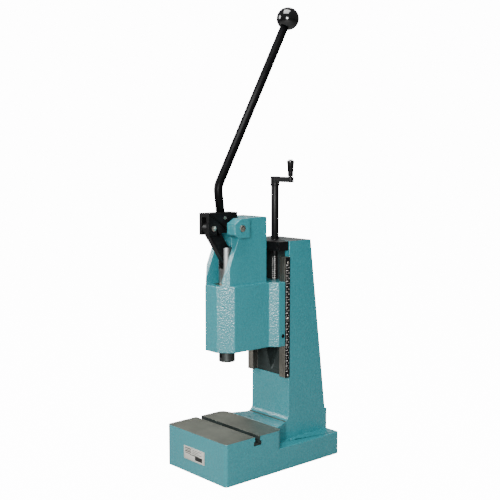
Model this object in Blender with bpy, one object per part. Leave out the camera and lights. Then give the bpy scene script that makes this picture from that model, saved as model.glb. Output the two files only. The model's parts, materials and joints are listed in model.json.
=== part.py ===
"""Bench toggle press: a cast frame with a T-slot table, a height-adjustable head moved by a
crank and lead screw, and a hand lever that drives the ram through a toggle link.

Metres, +Z up, front towards -Y.  The origin is the middle of the underside of the base.
"""
import math

import bmesh
import bpy
from mathutils import Vector

# ---------------------------------------------------------------- driving dimensions
# fits
TOUCH = 0.0003           # gap left between faces that touch
SLIDE = 0.0003           # running clearance of a shaft in its bush, on the radius
PRESS = 0.0003           # gap round a pressed or screwed-in piece, on the radius
GUIDE_GAP = 0.0004       # between the head and its guide

# base and table
BASE_WIDTH = 0.170
FOOT_HEIGHT = 0.043
TABLE_HEIGHT = 0.077
TABLE_LENGTH = 0.137     # machined part of the table, front to back
STRIP_DROP = 0.001       # painted strip behind the table lies this much lower
BLOCK_CORNER = 0.013     # rear corners of the table block
SHOULDER_FRONT = 0.001   # table end to the block's rear face, forwards
SHOULDER_HALF = 0.069    # mid plane to where the block starts to taper to the column
SHOULDER_END = 0.007     # column face to the end of that taper, forwards
SHOULDER_RADIUS = 0.014
FOOT_HOLE = 0.011
FOOT_HOLE_INSET = 0.025  # from the side of the base
BASE_CORNER = 0.006
BASE_WALL = 0.014
SLOT_NECK = 0.012
SLOT_NECK_DEPTH = 0.0085
SLOT_WIDTH = 0.018
SLOT_DEPTH = 0.016
DRAFT_RUN_OUT = 0.045    # length of the tapered lower end of the screw groove

# column
RAM_REACH = 0.0742       # front of the base to the ram axis
THROAT = 0.0968          # ram axis to the guide plane
RAIL_PROUD = 0.011
COLUMN_FOOT_DEPTH = 0.104
COLUMN_WIDTH = 0.104
COLUMN_HEIGHT = 0.418
COLUMN_TOP_DEPTH = 0.0565
COLUMN_FILLET = 0.0125
BACK_STEP = 0.005
BACK_STEP_HEIGHT = 0.083
COLUMN_WALL = 0.012
CORE_TOP = 0.300         # top of the hollow inside the column

# guide
RAIL_BOTTOM = 0.162
RAIL_TOP = 0.389
GUIDE_WIDTH = 0.074      # between the rails
DOVETAIL_DEPTH = 0.015
DOVETAIL_FLARE = 0.004   # how much each flank widens over that depth
GROOVE_WIDTH = 0.032
GROOVE_DEPTH = 0.039     # from the guide plane
GROOVE_BOTTOM = 0.205
SCREW_SETBACK = 0.0225   # guide plane to the lead screw axis

# head
HEAD_BOTTOM = 0.2226
HEAD_HEIGHT = 0.1206
HEAD_WIDTH = 0.079
HEAD_NOSE = 0.0378       # ram axis to the front face
HEAD_NOSE_WIDTH = 0.032
FLANGE_WIDTH = 0.106
FLANGE_THICKNESS = 0.015
GIB_THICKNESS = 0.003
YOKE_WIDTH = 0.067
YOKE_GAP = 0.045
YOKE_TOP = 0.4645
YOKE_SLOPE = 0.40        # how far the front edge leans back for each metre up
YOKE_BACK_GAP = 0.030    # ram axis to the rear wall of the gap
LUG_REACH = 0.045        # mid plane to the end of a pivot lug
LUG_FRONT = 0.0182
LUG_REAR = 0.017
LUG_HEIGHT = 0.035

# ram and its bushes
RAM_RADIUS = 0.015
RAM_NOSE = 0.200
RAM_TOP = 0.411
RAM_SLOT = 0.0132
TOOL_BORE = 0.010
TOOL_BORE_DEPTH = 0.034
BUSH_WALL = 0.003
LOWER_BUSH_LENGTH = 0.022
UPPER_BUSH_LENGTH = 0.020
SPRING_ROOM = 0.007      # from the ram to the wall of the spring chamber
SPRING_WIRE = 0.0026
SPRING_TURNS = 7
SPRING_COLLAR = 0.004
KEYWAY_WIDTH = 0.005
KEYWAY_DEPTH = 0.003
RAM_STROKE = 0.0443

# toggle
PIVOT_HEIGHT = 0.447
PIVOT_RADIUS = 0.006
CRANK_RADIUS = 0.040     # lever pivot to the link's upper pin
LINK_LENGTH = 0.070
LINK_THICKNESS = 0.0124
LINK_TOP_BOSS = 0.012
LINK_LOW_BOSS = 0.0125
LINK_PIN_RADIUS = 0.005
LOW_PIN_RADIUS = 0.0045
LOW_EYE_RADIUS = 0.0093

# lever
HUB_WIDTH = 0.027
HUB_FORK = 0.013
HUB_FRONT = 0.0525       # pivot axis to the front of the hub
HUB_REAR = 0.0145
HUB_TOP = 0.0275
HUB_BOTTOM = 0.009
FORK_ROOM = 0.0022       # between the link and the root of the fork
FORK_HEADROOM = 0.008    # above the link
LEVER_RADIUS = 0.008
LEVER_SINK = 0.0155      # depth of the lever's socket in the hub
BALL_RADIUS = 0.0212

# lead screw and crank
SCREW_RADIUS = 0.006
JOURNAL_RADIUS = 0.005
SCREW_END = 0.228
COLLAR_RADIUS = 0.0075
COLLAR_HEIGHT = 0.0145
PLATE_THICKNESS = 0.017
PLATE_REACH = 0.0135     # how far the plate stands in front of the guide plane
PLATE_INSET = 0.002      # from the side of the column to the end of the plate
TUBE_RADIUS = 0.00735
CRANK_TOP = 0.5365
CRANK_HUB_HEIGHT = 0.018
CRANK_HUB_RADIUS = 0.0085
CRANK_THROW = 0.042
CRANK_ARM_WIDTH = 0.012
CRANK_ARM_HEIGHT = 0.010
GRIP_LENGTH = 0.030
GRIP_TOP_RADIUS = 0.007
GRIP_LOW_RADIUS = 0.0052
STUD_RADIUS = 0.0025

# scale and nameplate
SCALE_WIDTH = 0.011
SCALE_THICKNESS = 0.001
PLATE_LABEL_WIDTH = 0.060
PLATE_LABEL_HEIGHT = 0.0245
PLATE_LABEL_CENTRE = (-0.004, 0.0372)

# ---------------------------------------------------------------- places worked out from them
BASE_LENGTH = RAM_REACH + THROAT + RAIL_PROUD + COLUMN_FOOT_DEPTH
FRONT_Y = -BASE_LENGTH / 2
BACK_Y = BASE_LENGTH / 2
RAM_Y = FRONT_Y + RAM_REACH
GUIDE_Y = RAM_Y + THROAT
COLUMN_Y = GUIDE_Y + RAIL_PROUD
SCREW_Y = GUIDE_Y + SCREW_SETBACK
GROOVE_Y = GUIDE_Y + GROOVE_DEPTH
HALF_COLUMN = COLUMN_WIDTH / 2
HALF_GUIDE = GUIDE_WIDTH / 2
HEAD_TOP = HEAD_BOTTOM + HEAD_HEIGHT
CHAMBER_RADIUS = RAM_RADIUS + SPRING_ROOM
HEAD_BACK_Y = GUIDE_Y - GUIDE_GAP
NOSE_Y = RAM_Y - HEAD_NOSE
NOSE_CHAMFER = (HEAD_WIDTH - HEAD_NOSE_WIDTH) / 2
FLARE = (FLANGE_WIDTH - HEAD_WIDTH) / 2
FLANGE_Y = HEAD_BACK_Y - FLANGE_THICKNESS
BODY_END_Y = FLANGE_Y - FLARE
PLATE_BOTTOM = COLUMN_HEIGHT - TOUCH - PLATE_THICKNESS
UPPER_PIN_Y = RAM_Y - CRANK_RADIUS
LOWER_PIN_Z = PIVOT_HEIGHT - math.sqrt(LINK_LENGTH ** 2 - CRANK_RADIUS ** 2)
CHAMBER_FLOOR = HEAD_BOTTOM + LOWER_BUSH_LENGTH
UPPER_BUSH_BOTTOM = HEAD_TOP - UPPER_BUSH_LENGTH
KEY_HEIGHT = HEAD_BOTTOM + LOWER_BUSH_LENGTH / 2
# scale strip
SCALE_Y = GUIDE_Y + 0.0065
SCALE_LOW = RAIL_BOTTOM - 0.001
SCALE_HIGH = RAIL_TOP - 0.001
# screws of the bearing plate
PLATE_SCREW_X = HALF_COLUMN - PLATE_INSET - 0.0035
PLATE_SCREW_Z = PLATE_BOTTOM + PLATE_THICKNESS / 2
# lead nut, head clamp and gib screw
NUT_RADIUS = 0.0088
NUT_TOP = HEAD_TOP - 0.008
NUT_LENGTH = 0.040
NUT_FLANGE = 0.0135
NUT_FLANGE_HEIGHT = 0.004
NUT_SCREW_X = (NUT_RADIUS + NUT_FLANGE) / 2 + 0.0002
BOSS_HALF = GROOVE_WIDTH / 2 - 0.0015
BOSS_Y = GROOVE_Y - 0.0025
CLAMP_Z = HEAD_BOTTOM + 0.0195
CLAMP_Y = GUIDE_Y - 0.0055
CLAMP_RADIUS = 0.0036
SHOE_LOW_X = HALF_GUIDE + 0.002
SHOE_HIGH_X = FLANGE_WIDTH / 2 - 0.007
GIB_SCREW = (-HALF_GUIDE + 0.0045, GUIDE_Y + 0.0075)
# return spring
SPRING_TOP = UPPER_BUSH_BOTTOM - 0.001 - SPRING_COLLAR
# cross pins and crank
PIN_RADIUS = 0.0015
TUBE_PIN_Z = COLUMN_HEIGHT + 0.007
HUB_PIN_Z = CRANK_TOP - CRANK_HUB_HEIGHT + 0.006
CRANK_HUB_LOW = CRANK_TOP - CRANK_HUB_HEIGHT
ARM_LOW = CRANK_TOP - 0.0005 - CRANK_ARM_HEIGHT
# lever route, in the mid plane
LEVER_ROOT = Vector((0, RAM_Y - 0.0147, PIVOT_HEIGHT + HUB_TOP))
LEVER_BEND = Vector((0, RAM_Y - 0.0203, 0.5198))
BALL_CENTRE = Vector((0, RAM_Y + 0.1509, 0.8302))
BALL_MOUTH = math.sqrt(BALL_RADIUS ** 2 - (LEVER_RADIUS + 0.002) ** 2)
LEVER_END = BALL_CENTRE - (BALL_CENTRE - LEVER_BEND).normalized() * BALL_MOUTH
BALL_SINK = 0.017
# hub bushes and set screw
HUB_BUSH_WALL = 0.002
SET_SCREW = (LEVER_ROOT.y, LEVER_ROOT.z - 0.0095)
# link bush
LINK_BUSH_WALL = 0.0015
# tool screw
TOOL_SCREW_Z = RAM_NOSE + 0.0115


# ---------------------------------------------------------------- modelling helpers
def in_space(axis, across, up, along):
    """A point of a flat outline, placed at a distance along the axis the outline faces."""
    if axis == "x":
        return Vector((along, across, up))
    if axis == "y":
        return Vector((across, along, up))
    return Vector((across, up, along))


def add_object(name, bm):
    mesh = bpy.data.meshes.new(name)
    bmesh.ops.recalc_face_normals(bm, faces=bm.faces)
    bm.to_mesh(mesh)
    bm.free()
    obj = bpy.data.objects.new(name, mesh)
    bpy.context.scene.collection.objects.link(obj)
    return obj


def prism(name, outline, axis, low, high):
    """A flat outline pushed straight from low to high along an axis."""
    bm = bmesh.new()
    face = bm.faces.new([bm.verts.new(in_space(axis, a, b, low)) for a, b in outline])
    grown = bmesh.ops.extrude_face_region(bm, geom=[face])
    tips = [item for item in grown["geom"] if isinstance(item, bmesh.types.BMVert)]
    bmesh.ops.translate(bm, vec=in_space(axis, 0, 0, high - low), verts=tips)
    return add_object(name, bm)


def box(name, low, high):
    outline = [(low[0], low[1]), (high[0], low[1]), (high[0], high[1]), (low[0], high[1])]
    return prism(name, outline, "z", low[2], high[2])


def circle(centre, radius, sides):
    """Points round a circle, counter-clockwise."""
    step = 2 * math.pi / sides
    return [(centre[0] + radius * math.cos(step * (i + 0.5)),
             centre[1] + radius * math.sin(step * (i + 0.5))) for i in range(sides)]


def rod(name, axis, centre, radius, low, high, sides=24):
    return prism(name, circle(centre, radius, sides), axis, low, high)


def rounded(corners, steps=6):
    """An outline whose corners (across, up, radius) are turned into arcs."""
    points = []
    for i, (x, y, radius) in enumerate(corners):
        here = Vector((x, y))
        if radius <= 0:
            points.append((x, y))
            continue
        before = (Vector(corners[i - 1][:2]) - here).normalized()
        after = (Vector(corners[(i + 1) % len(corners)][:2]) - here).normalized()
        half = before.angle(after) / 2
        centre = here + (before + after).normalized() * (radius / math.sin(half))
        start = here + before * (radius / math.tan(half)) - centre
        end = here + after * (radius / math.tan(half)) - centre
        turn = start.angle_signed(end)
        for k in range(steps + 1):
            angle = -turn * k / steps
            points.append((centre.x + start.x * math.cos(angle) - start.y * math.sin(angle),
                           centre.y + start.x * math.sin(angle) + start.y * math.cos(angle)))
    return points


def turned(name, axis, centre, profile, sides=24):
    """A turned piece: a profile of (radius, place along the axis), open at the axis or a ring."""
    bm = bmesh.new()
    ring = profile[0][0] > 0
    verts = [bm.verts.new(in_space(axis, centre[0] + r, centre[1], at)) for r, at in profile]
    pairs = list(zip(verts, verts[1:]))
    if ring:
        pairs.append((verts[-1], verts[0]))
    edges = [bm.edges.new(pair) for pair in pairs]
    bmesh.ops.spin(bm, geom=verts + edges, cent=in_space(axis, centre[0], centre[1], 0),
                   axis=in_space(axis, 0, 0, 1), angle=2 * math.pi, steps=sides,
                   use_merge=True)
    bmesh.ops.remove_doubles(bm, verts=bm.verts, dist=1e-6)
    return add_object(name, bm)


def ring(name, axis, centre, inner, outer, low, high, sides=24):
    profile = [(outer, high), (outer, low), (inner, low), (inner, high)]
    return turned(name, axis, centre, profile, sides)


def combine(target, tool, operation):
    """Boolean the tool into the target and drop the tool."""
    modifier = target.modifiers.new(operation.lower(), "BOOLEAN")
    modifier.operation = operation
    modifier.solver = "EXACT"
    modifier.object = tool
    evaluated = target.evaluated_get(bpy.context.evaluated_depsgraph_get())
    result = bpy.data.meshes.new_from_object(evaluated)
    target.modifiers.remove(modifier)
    old, target.data = target.data, result
    bpy.data.meshes.remove(old)
    tool_mesh = tool.data
    bpy.data.objects.remove(tool)
    bpy.data.meshes.remove(tool_mesh)


def cut(target, *tools):
    for tool in tools:
        combine(target, tool, "DIFFERENCE")


def unite(target, *tools):
    for tool in tools:
        combine(target, tool, "UNION")


def tidy_mesh(obj):
    """Merge the slivers a boolean leaves and keep flat faces flat."""
    bm = bmesh.new()
    bm.from_mesh(obj.data)
    bmesh.ops.remove_doubles(bm, verts=bm.verts, dist=2e-6)
    bmesh.ops.dissolve_limit(bm, angle_limit=math.radians(0.5), verts=bm.verts, edges=bm.edges)
    bmesh.ops.triangulate(bm, faces=[face for face in bm.faces if len(face.verts) > 4])
    bm.to_mesh(obj.data)
    bm.free()


def finish_part(obj, look, origin=None):
    """Give a part its material, its shading and an origin on its joint axis."""
    colour, roughness, metallic = look
    material = bpy.data.materials.new(obj.name + "_finish")
    material.use_nodes = True
    shader = material.node_tree.nodes["Principled BSDF"]
    shader.inputs["Base Color"].default_value = (*colour, 1)
    shader.inputs["Roughness"].default_value = roughness
    shader.inputs["Metallic"].default_value = metallic
    obj.data.materials.clear()
    obj.data.materials.append(material)
    obj.data.shade_smooth()
    obj.data.set_sharp_from_angle(angle=math.radians(30))
    if origin is not None:
        for vertex in obj.data.vertices:
            vertex.co -= Vector(origin)
        obj.location = origin
    return obj


# looks: linear colour, roughness, metallic
PAINT = ((0.12, 0.33, 0.36), 0.45, 0.0)
MACHINED = ((0.42, 0.42, 0.39), 0.35, 1.0)
GROUND = ((0.60, 0.58, 0.57), 0.22, 1.0)
BLACKED = ((0.016, 0.016, 0.017), 0.38, 0.4)
BRIGHT = ((0.75, 0.74, 0.70), 0.20, 1.0)
BRONZE = ((0.55, 0.33, 0.14), 0.35, 1.0)
SPRING_STEEL = ((0.25, 0.26, 0.28), 0.30, 1.0)
PHENOLIC = ((0.008, 0.008, 0.009), 0.10, 0.0)
SILVER = ((0.66, 0.66, 0.60), 0.35, 0.8)


# ---------------------------------------------------------------- frame
def dovetail(name, width, depth, flare, low, high, mouth):
    """A dovetail across X: straight from the mouth to the guide plane, then flaring."""
    half = width / 2
    outline = [(-half, mouth), (half, mouth), (half, GUIDE_Y), (half + flare, GUIDE_Y + depth),
               (-half - flare, GUIDE_Y + depth), (-half, GUIDE_Y)]
    return prism(name, outline, "z", low, high)


def groove_run_out():
    """The lower end of the screw groove, which tapers to a point on the column face."""
    half = GROOVE_WIDTH / 2
    mouth = COLUMN_Y - 0.001
    points = [(-half, mouth, GROOVE_BOTTOM + TOUCH), (half, mouth, GROOVE_BOTTOM + TOUCH),
              (half, GROOVE_Y, GROOVE_BOTTOM + TOUCH), (-half, GROOVE_Y, GROOVE_BOTTOM + TOUCH),
              (0, mouth, GROOVE_BOTTOM - DRAFT_RUN_OUT)]
    bm = bmesh.new()
    verts = [bm.verts.new(point) for point in points]
    bmesh.ops.convex_hull(bm, input=verts)
    return add_object("groove_run_out", bm)


def rear_face(z):
    """Y of the column's sloping rear face at a height."""
    top_y = COLUMN_Y + COLUMN_TOP_DEPTH
    low_y = BACK_Y - BACK_STEP
    share = (z - BACK_STEP_HEIGHT) / (COLUMN_HEIGHT - BACK_STEP_HEIGHT)
    return low_y + (top_y - low_y) * share


def make_frame_casting():
    half = BASE_WIDTH / 2
    strip = TABLE_HEIGHT - STRIP_DROP
    table_end = FRONT_Y + TABLE_LENGTH
    block_end = table_end - SHOULDER_FRONT
    foot = rounded([(-half, FRONT_Y, BASE_CORNER), (half, FRONT_Y, BASE_CORNER),
                    (half, BACK_Y, BASE_CORNER), (-half, BACK_Y, BASE_CORNER)])
    casting = prism("frame_casting", foot, "z", 0, FOOT_HEIGHT)
    right = [(half, FRONT_Y, BASE_CORNER), (half, block_end, BLOCK_CORNER),
             (SHOULDER_HALF, block_end, 0.004),
             (HALF_COLUMN, COLUMN_Y - SHOULDER_END, SHOULDER_RADIUS),
             (HALF_COLUMN, COLUMN_Y + COLUMN_WALL, 0)]
    block = right + [(-x, y, radius) for x, y, radius in reversed(right)]
    unite(casting, prism("block", rounded(block), "z", FOOT_HEIGHT - 0.002, TABLE_HEIGHT))
    cut(casting, box("strip", (-half - 0.01, table_end, strip),
                     (half + 0.01, COLUMN_Y + COLUMN_WALL + 0.01, TABLE_HEIGHT + 0.01)))
    side = [(COLUMN_Y - COLUMN_FILLET - 0.001, FOOT_HEIGHT - 0.002, 0), (BACK_Y, FOOT_HEIGHT - 0.002, 0),
            (BACK_Y, BACK_STEP_HEIGHT, 0), (BACK_Y - BACK_STEP, BACK_STEP_HEIGHT, 0),
            (COLUMN_Y + COLUMN_TOP_DEPTH, COLUMN_HEIGHT, 0), (COLUMN_Y, COLUMN_HEIGHT, 0),
            (COLUMN_Y, strip, COLUMN_FILLET), (COLUMN_Y - COLUMN_FILLET - 0.001, strip, 0)]
    unite(casting, prism("column", rounded(side), "x", -HALF_COLUMN, HALF_COLUMN))
    for side_x in (-1, 1):
        low_x, high_x = sorted((side_x * (HALF_GUIDE - 0.001), side_x * HALF_COLUMN))
        unite(casting, box("rail", (low_x, GUIDE_Y, RAIL_BOTTOM),
                           (high_x, COLUMN_Y + 0.002, RAIL_TOP)))
    # machined features
    cut(casting,
        box("neck", (-half - 0.01, RAM_Y - SLOT_NECK / 2, TABLE_HEIGHT - SLOT_NECK_DEPTH - 0.001),
            (half + 0.01, RAM_Y + SLOT_NECK / 2, TABLE_HEIGHT + 0.01)),
        box("channel", (-half - 0.01, RAM_Y - SLOT_WIDTH / 2, TABLE_HEIGHT - SLOT_DEPTH),
            (half + 0.01, RAM_Y + SLOT_WIDTH / 2, TABLE_HEIGHT - SLOT_NECK_DEPTH)),
        dovetail("guide", GUIDE_WIDTH, DOVETAIL_DEPTH, DOVETAIL_FLARE,
                 RAIL_BOTTOM, COLUMN_HEIGHT + 0.01, GUIDE_Y - 0.005),
        box("groove", (-GROOVE_WIDTH / 2, COLUMN_Y - 0.001, GROOVE_BOTTOM),
            (GROOVE_WIDTH / 2, GROOVE_Y, COLUMN_HEIGHT + 0.01)),
        groove_run_out())
    # bolt holes through the feet
    for side_x in (-1, 1):
        cut(casting, rod("bolt_hole", "z", (side_x * (half - FOOT_HOLE_INSET), COLUMN_Y - 0.002),
                         FOOT_HOLE / 2, -0.01, FOOT_HEIGHT + 0.01))
    # hollows, open underneath, either side of a solid cross rib
    core_x = HALF_COLUMN - COLUMN_WALL
    rib_front = -0.010
    core_y = COLUMN_Y + BASE_WALL
    core_back = GROOVE_Y + COLUMN_WALL
    core = [(core_y, -0.01), (BACK_Y - BASE_WALL, -0.01),
            (BACK_Y - BASE_WALL, BACK_STEP_HEIGHT - COLUMN_WALL),
            (rear_face(CORE_TOP) - COLUMN_WALL, CORE_TOP), (core_back, CORE_TOP),
            (core_back, RAIL_BOTTOM - COLUMN_WALL), (core_y, RAIL_BOTTOM - 2 * COLUMN_WALL)]
    cut(casting,
        box("front_hollow", (-half + BASE_WALL, FRONT_Y + BASE_WALL, -0.01),
            (half - BASE_WALL, rib_front, TABLE_HEIGHT - SLOT_DEPTH - BASE_WALL)),
        box("rear_hollow", (-half + BASE_WALL, core_y, -0.01),
            (half - BASE_WALL, BACK_Y - BASE_WALL, FOOT_HEIGHT - BASE_WALL)),
        prism("core", core, "x", -core_x, core_x))
    # tapped holes for the scale and the bearing plate
    for z in scale_screw_heights():
        cut(casting, rod("tapped", "x", (SCALE_Y, z), 0.0015 + PRESS,
                         HALF_COLUMN - 0.009, HALF_COLUMN + 0.01, 12))
    for x in (-PLATE_SCREW_X, PLATE_SCREW_X):
        cut(casting, rod("tapped", "y", (x, PLATE_SCREW_Z), 0.0021 + PRESS,
                         COLUMN_Y - 0.01, COLUMN_Y + 0.013, 12))
    tidy_mesh(casting)
    finish_part(casting, PAINT)


def scale_screw_heights():
    return (SCALE_LOW + 0.005, (SCALE_LOW + SCALE_HIGH) / 2, SCALE_HIGH - 0.010)


def make_scale():
    face = HALF_COLUMN + TOUCH
    strip = box("scale_strip", (face, SCALE_Y - SCALE_WIDTH / 2, SCALE_LOW),
                (face + SCALE_THICKNESS, SCALE_Y + SCALE_WIDTH / 2, SCALE_HIGH))
    seat = face + SCALE_THICKNESS + TOUCH
    for number, z in enumerate(scale_screw_heights(), 1):
        cut(strip, rod("hole", "x", (SCALE_Y, z), 0.0015 + PRESS, face - 0.01, face + 0.01, 12))
        profile = [(0, seat + 0.0012), (0.0016, seat + 0.0010), (0.0023, seat + 0.0004),
                   (0.0023, seat), (0.0015, seat), (0.0015, seat - 0.009), (0, seat - 0.009)]
        finish_part(turned(f"scale_screw_{number}", "x", (SCALE_Y, z), profile, 12), BRIGHT)
    tidy_mesh(strip)
    finish_part(strip, BLACKED)


def make_nameplate():
    x, z = PLATE_LABEL_CENTRE
    half_x, half_z = PLATE_LABEL_WIDTH / 2, PLATE_LABEL_HEIGHT / 2
    outline = rounded([(x - half_x, z - half_z, 0.0012), (x + half_x, z - half_z, 0.0012),
                       (x + half_x, z + half_z, 0.0012), (x - half_x, z + half_z, 0.0012)], 3)
    plate = prism("nameplate", outline, "y", FRONT_Y - TOUCH - 0.0007, FRONT_Y - TOUCH)
    finish_part(plate, SILVER)


def make_bearing_plate():
    """The black plate across the top of the guide, which carries the lead screw."""
    front = GUIDE_Y - PLATE_REACH
    rear = COLUMN_Y - TOUCH
    tongue = GROOVE_WIDTH / 2 - TOUCH
    half = HALF_COLUMN - PLATE_INSET
    outline = [(-half, front), (half, front), (half, rear), (tongue, rear),
               (tongue, GROOVE_Y - TOUCH), (-tongue, GROOVE_Y - TOUCH), (-tongue, rear),
               (-half, rear)]
    plate = prism("bearing_plate", outline, "z", PLATE_BOTTOM, PLATE_BOTTOM + PLATE_THICKNESS)
    cut(plate, rod("bore", "z", (0, SCREW_Y), JOURNAL_RADIUS + SLIDE,
                   PLATE_BOTTOM - 0.01, COLUMN_HEIGHT + 0.01))
    head_seat = front + 0.0045
    for side, x in (("left", -PLATE_SCREW_X), ("right", PLATE_SCREW_X)):
        cut(plate, rod("hole", "y", (x, PLATE_SCREW_Z), 0.0021 + PRESS,
                       front - 0.01, rear + 0.01, 12),
            rod("counterbore", "y", (x, PLATE_SCREW_Z), 0.0038, front - 0.01, head_seat, 16))
        profile = [(0, head_seat - 0.0015), (0.0014, head_seat - 0.0015), (0.0014, front + 0.0004),
                   (0.0034, front + 0.0004), (0.0034, head_seat - TOUCH),
                   (0.0021, head_seat - TOUCH), (0.0021, COLUMN_Y + 0.012), (0, COLUMN_Y + 0.012)]
        finish_part(turned(f"plate_screw_{side}", "y", (x, PLATE_SCREW_Z), profile, 12), BLACKED)
    tidy_mesh(plate)
    finish_part(plate, BLACKED)


# ---------------------------------------------------------------- head


def head_plan():
    """Plan of the head: nose, 45 degree chamfers, body, flare, flange and male dovetail.

    The dovetail leaves room for the gib on its left flank.
    """
    nose = HEAD_NOSE_WIDTH / 2
    body = HEAD_WIDTH / 2
    flange = FLANGE_WIDTH / 2
    right = HALF_GUIDE - GUIDE_GAP
    left = -HALF_GUIDE + GIB_THICKNESS + 2 * GUIDE_GAP
    lean = DOVETAIL_FLARE * (DOVETAIL_DEPTH - TOUCH) / DOVETAIL_DEPTH
    deep = GUIDE_Y + DOVETAIL_DEPTH - TOUCH
    return [(-nose, NOSE_Y), (nose, NOSE_Y), (body, NOSE_Y + NOSE_CHAMFER), (body, BODY_END_Y),
            (flange, FLANGE_Y), (flange, HEAD_BACK_Y), (right, HEAD_BACK_Y), (right, GUIDE_Y),
            (right + lean, deep), (left - lean, deep), (left, GUIDE_Y), (left, HEAD_BACK_Y),
            (-flange, HEAD_BACK_Y), (-flange, FLANGE_Y), (-body, BODY_END_Y),
            (-body, NOSE_Y + NOSE_CHAMFER)]


def lug_outline():
    """Side view of a pivot lug, with its two front chamfers."""
    top = YOKE_TOP
    low = PIVOT_HEIGHT - LUG_HEIGHT / 2
    front = RAM_Y - LUG_FRONT
    rear = RAM_Y + LUG_REAR
    return [(front, low + 0.0066), (front + 0.0125, low), (rear, low), (rear, top),
            (front + 0.0147, top), (front, top - 0.0086)]


def make_head_casting():
    half = HEAD_WIDTH / 2
    half_flange = FLANGE_WIDTH / 2
    half_yoke = YOKE_WIDTH / 2
    gap = YOKE_GAP / 2
    above = YOKE_TOP + 0.01
    before = NOSE_Y - 0.03
    casting = prism("head_casting", head_plan(), "z", HEAD_BOTTOM, YOKE_TOP)
    # above the body only the yoke is left: narrower, and leaning back at the front
    slope_start = NOSE_Y + 0.0034
    lean = YOKE_SLOPE * (above - HEAD_TOP)
    slope = [(before, HEAD_TOP), (slope_start, HEAD_TOP), (slope_start + lean, above), (before, above)]
    cut(casting,
        box("behind_yoke", (-half_flange - 0.01, BODY_END_Y, HEAD_TOP),
            (half_flange + 0.01, GROOVE_Y, above)),
        box("left_of_yoke", (-half_flange - 0.01, before, HEAD_TOP),
            (-half_yoke, GROOVE_Y + 0.01, above)),
        box("right_of_yoke", (half_yoke, before, HEAD_TOP),
            (half_flange + 0.01, GROOVE_Y + 0.01, above)),
        prism("slope", slope, "x", -half_flange, half_flange))
    unite(casting, prism("lugs", lug_outline(), "x", -LUG_REACH, LUG_REACH))
    cut(casting, box("gap", (-gap, before, HEAD_TOP), (gap, RAM_Y + YOKE_BACK_GAP, above)))
    boss_low = NUT_TOP - NUT_LENGTH - 0.010
    unite(casting, box("nut_boss", (-BOSS_HALF, GUIDE_Y + DOVETAIL_DEPTH - 0.002, boss_low),
                       (BOSS_HALF, BOSS_Y, NUT_TOP)))
    # bores for the ram, the pivot pin and the lead nut
    chamber = CHAMBER_RADIUS + PRESS
    cut(casting,
        rod("ram_bore", "z", (0, RAM_Y), RAM_RADIUS + BUSH_WALL + PRESS,
            HEAD_BOTTOM - 0.01, CHAMBER_FLOOR + 0.001, 32),
        rod("chamber", "z", (0, RAM_Y), chamber, CHAMBER_FLOOR, HEAD_TOP + 0.01, 32),
        rod("pivot_bore", "x", (RAM_Y, PIVOT_HEIGHT), PIVOT_RADIUS + PRESS,
            -LUG_REACH - 0.01, LUG_REACH + 0.01),
        rod("nut_bore", "z", (0, SCREW_Y), NUT_RADIUS + PRESS,
            HEAD_BOTTOM - 0.01, NUT_TOP + 0.02),
        rod("nut_seat", "z", (0, SCREW_Y), NUT_FLANGE + PRESS, NUT_TOP, HEAD_TOP + 0.01))
    # screw holes
    cut(casting,
        rod("key_hole", "x", (RAM_Y, KEY_HEIGHT), 0.003 + PRESS, -half - 0.01, 0, 12),
        rod("pin_lock_hole", "z", (-(gap + LUG_REACH) / 2, RAM_Y), 0.0025 + PRESS,
            PIVOT_HEIGHT, YOKE_TOP + 0.01, 12),
        rod("gib_hole", "z", GIB_SCREW, 0.0025 + PRESS, HEAD_TOP - 0.016, HEAD_TOP + 0.01, 12),
        box("shoe_pocket", (SHOE_LOW_X, CLAMP_Y - 0.005, CLAMP_Z - 0.009),
            (SHOE_HIGH_X, HEAD_BACK_Y + 0.01, CLAMP_Z + 0.009)),
        rod("clamp_hole", "x", (CLAMP_Y, CLAMP_Z), CLAMP_RADIUS + PRESS,
            SHOE_HIGH_X - 0.001, half_flange + 0.01, 16))
    for x in (-NUT_SCREW_X, NUT_SCREW_X):
        cut(casting, rod("nut_screw_hole", "z", (x, SCREW_Y), 0.00125 + PRESS,
                         NUT_TOP - 0.010, NUT_TOP + 0.001, 8))
    tidy_mesh(casting)
    finish_part(casting, PAINT, (0, HEAD_BACK_Y, HEAD_BOTTOM))


def make_ram_bushes():
    inner = RAM_RADIUS + SLIDE
    lower = ring("lower_ram_bush", "z", (0, RAM_Y), inner, RAM_RADIUS + BUSH_WALL,
                 HEAD_BOTTOM + TOUCH, CHAMBER_FLOOR - TOUCH, 32)
    cut(lower, rod("key_hole", "x", (RAM_Y, KEY_HEIGHT), 0.003 + PRESS, -0.03, 0, 12))
    tidy_mesh(lower)
    finish_part(lower, BRONZE)
    upper = ring("upper_ram_bush", "z", (0, RAM_Y), inner, CHAMBER_RADIUS,
                 UPPER_BUSH_BOTTOM, HEAD_TOP, 32)
    finish_part(upper, BRONZE)


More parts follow.
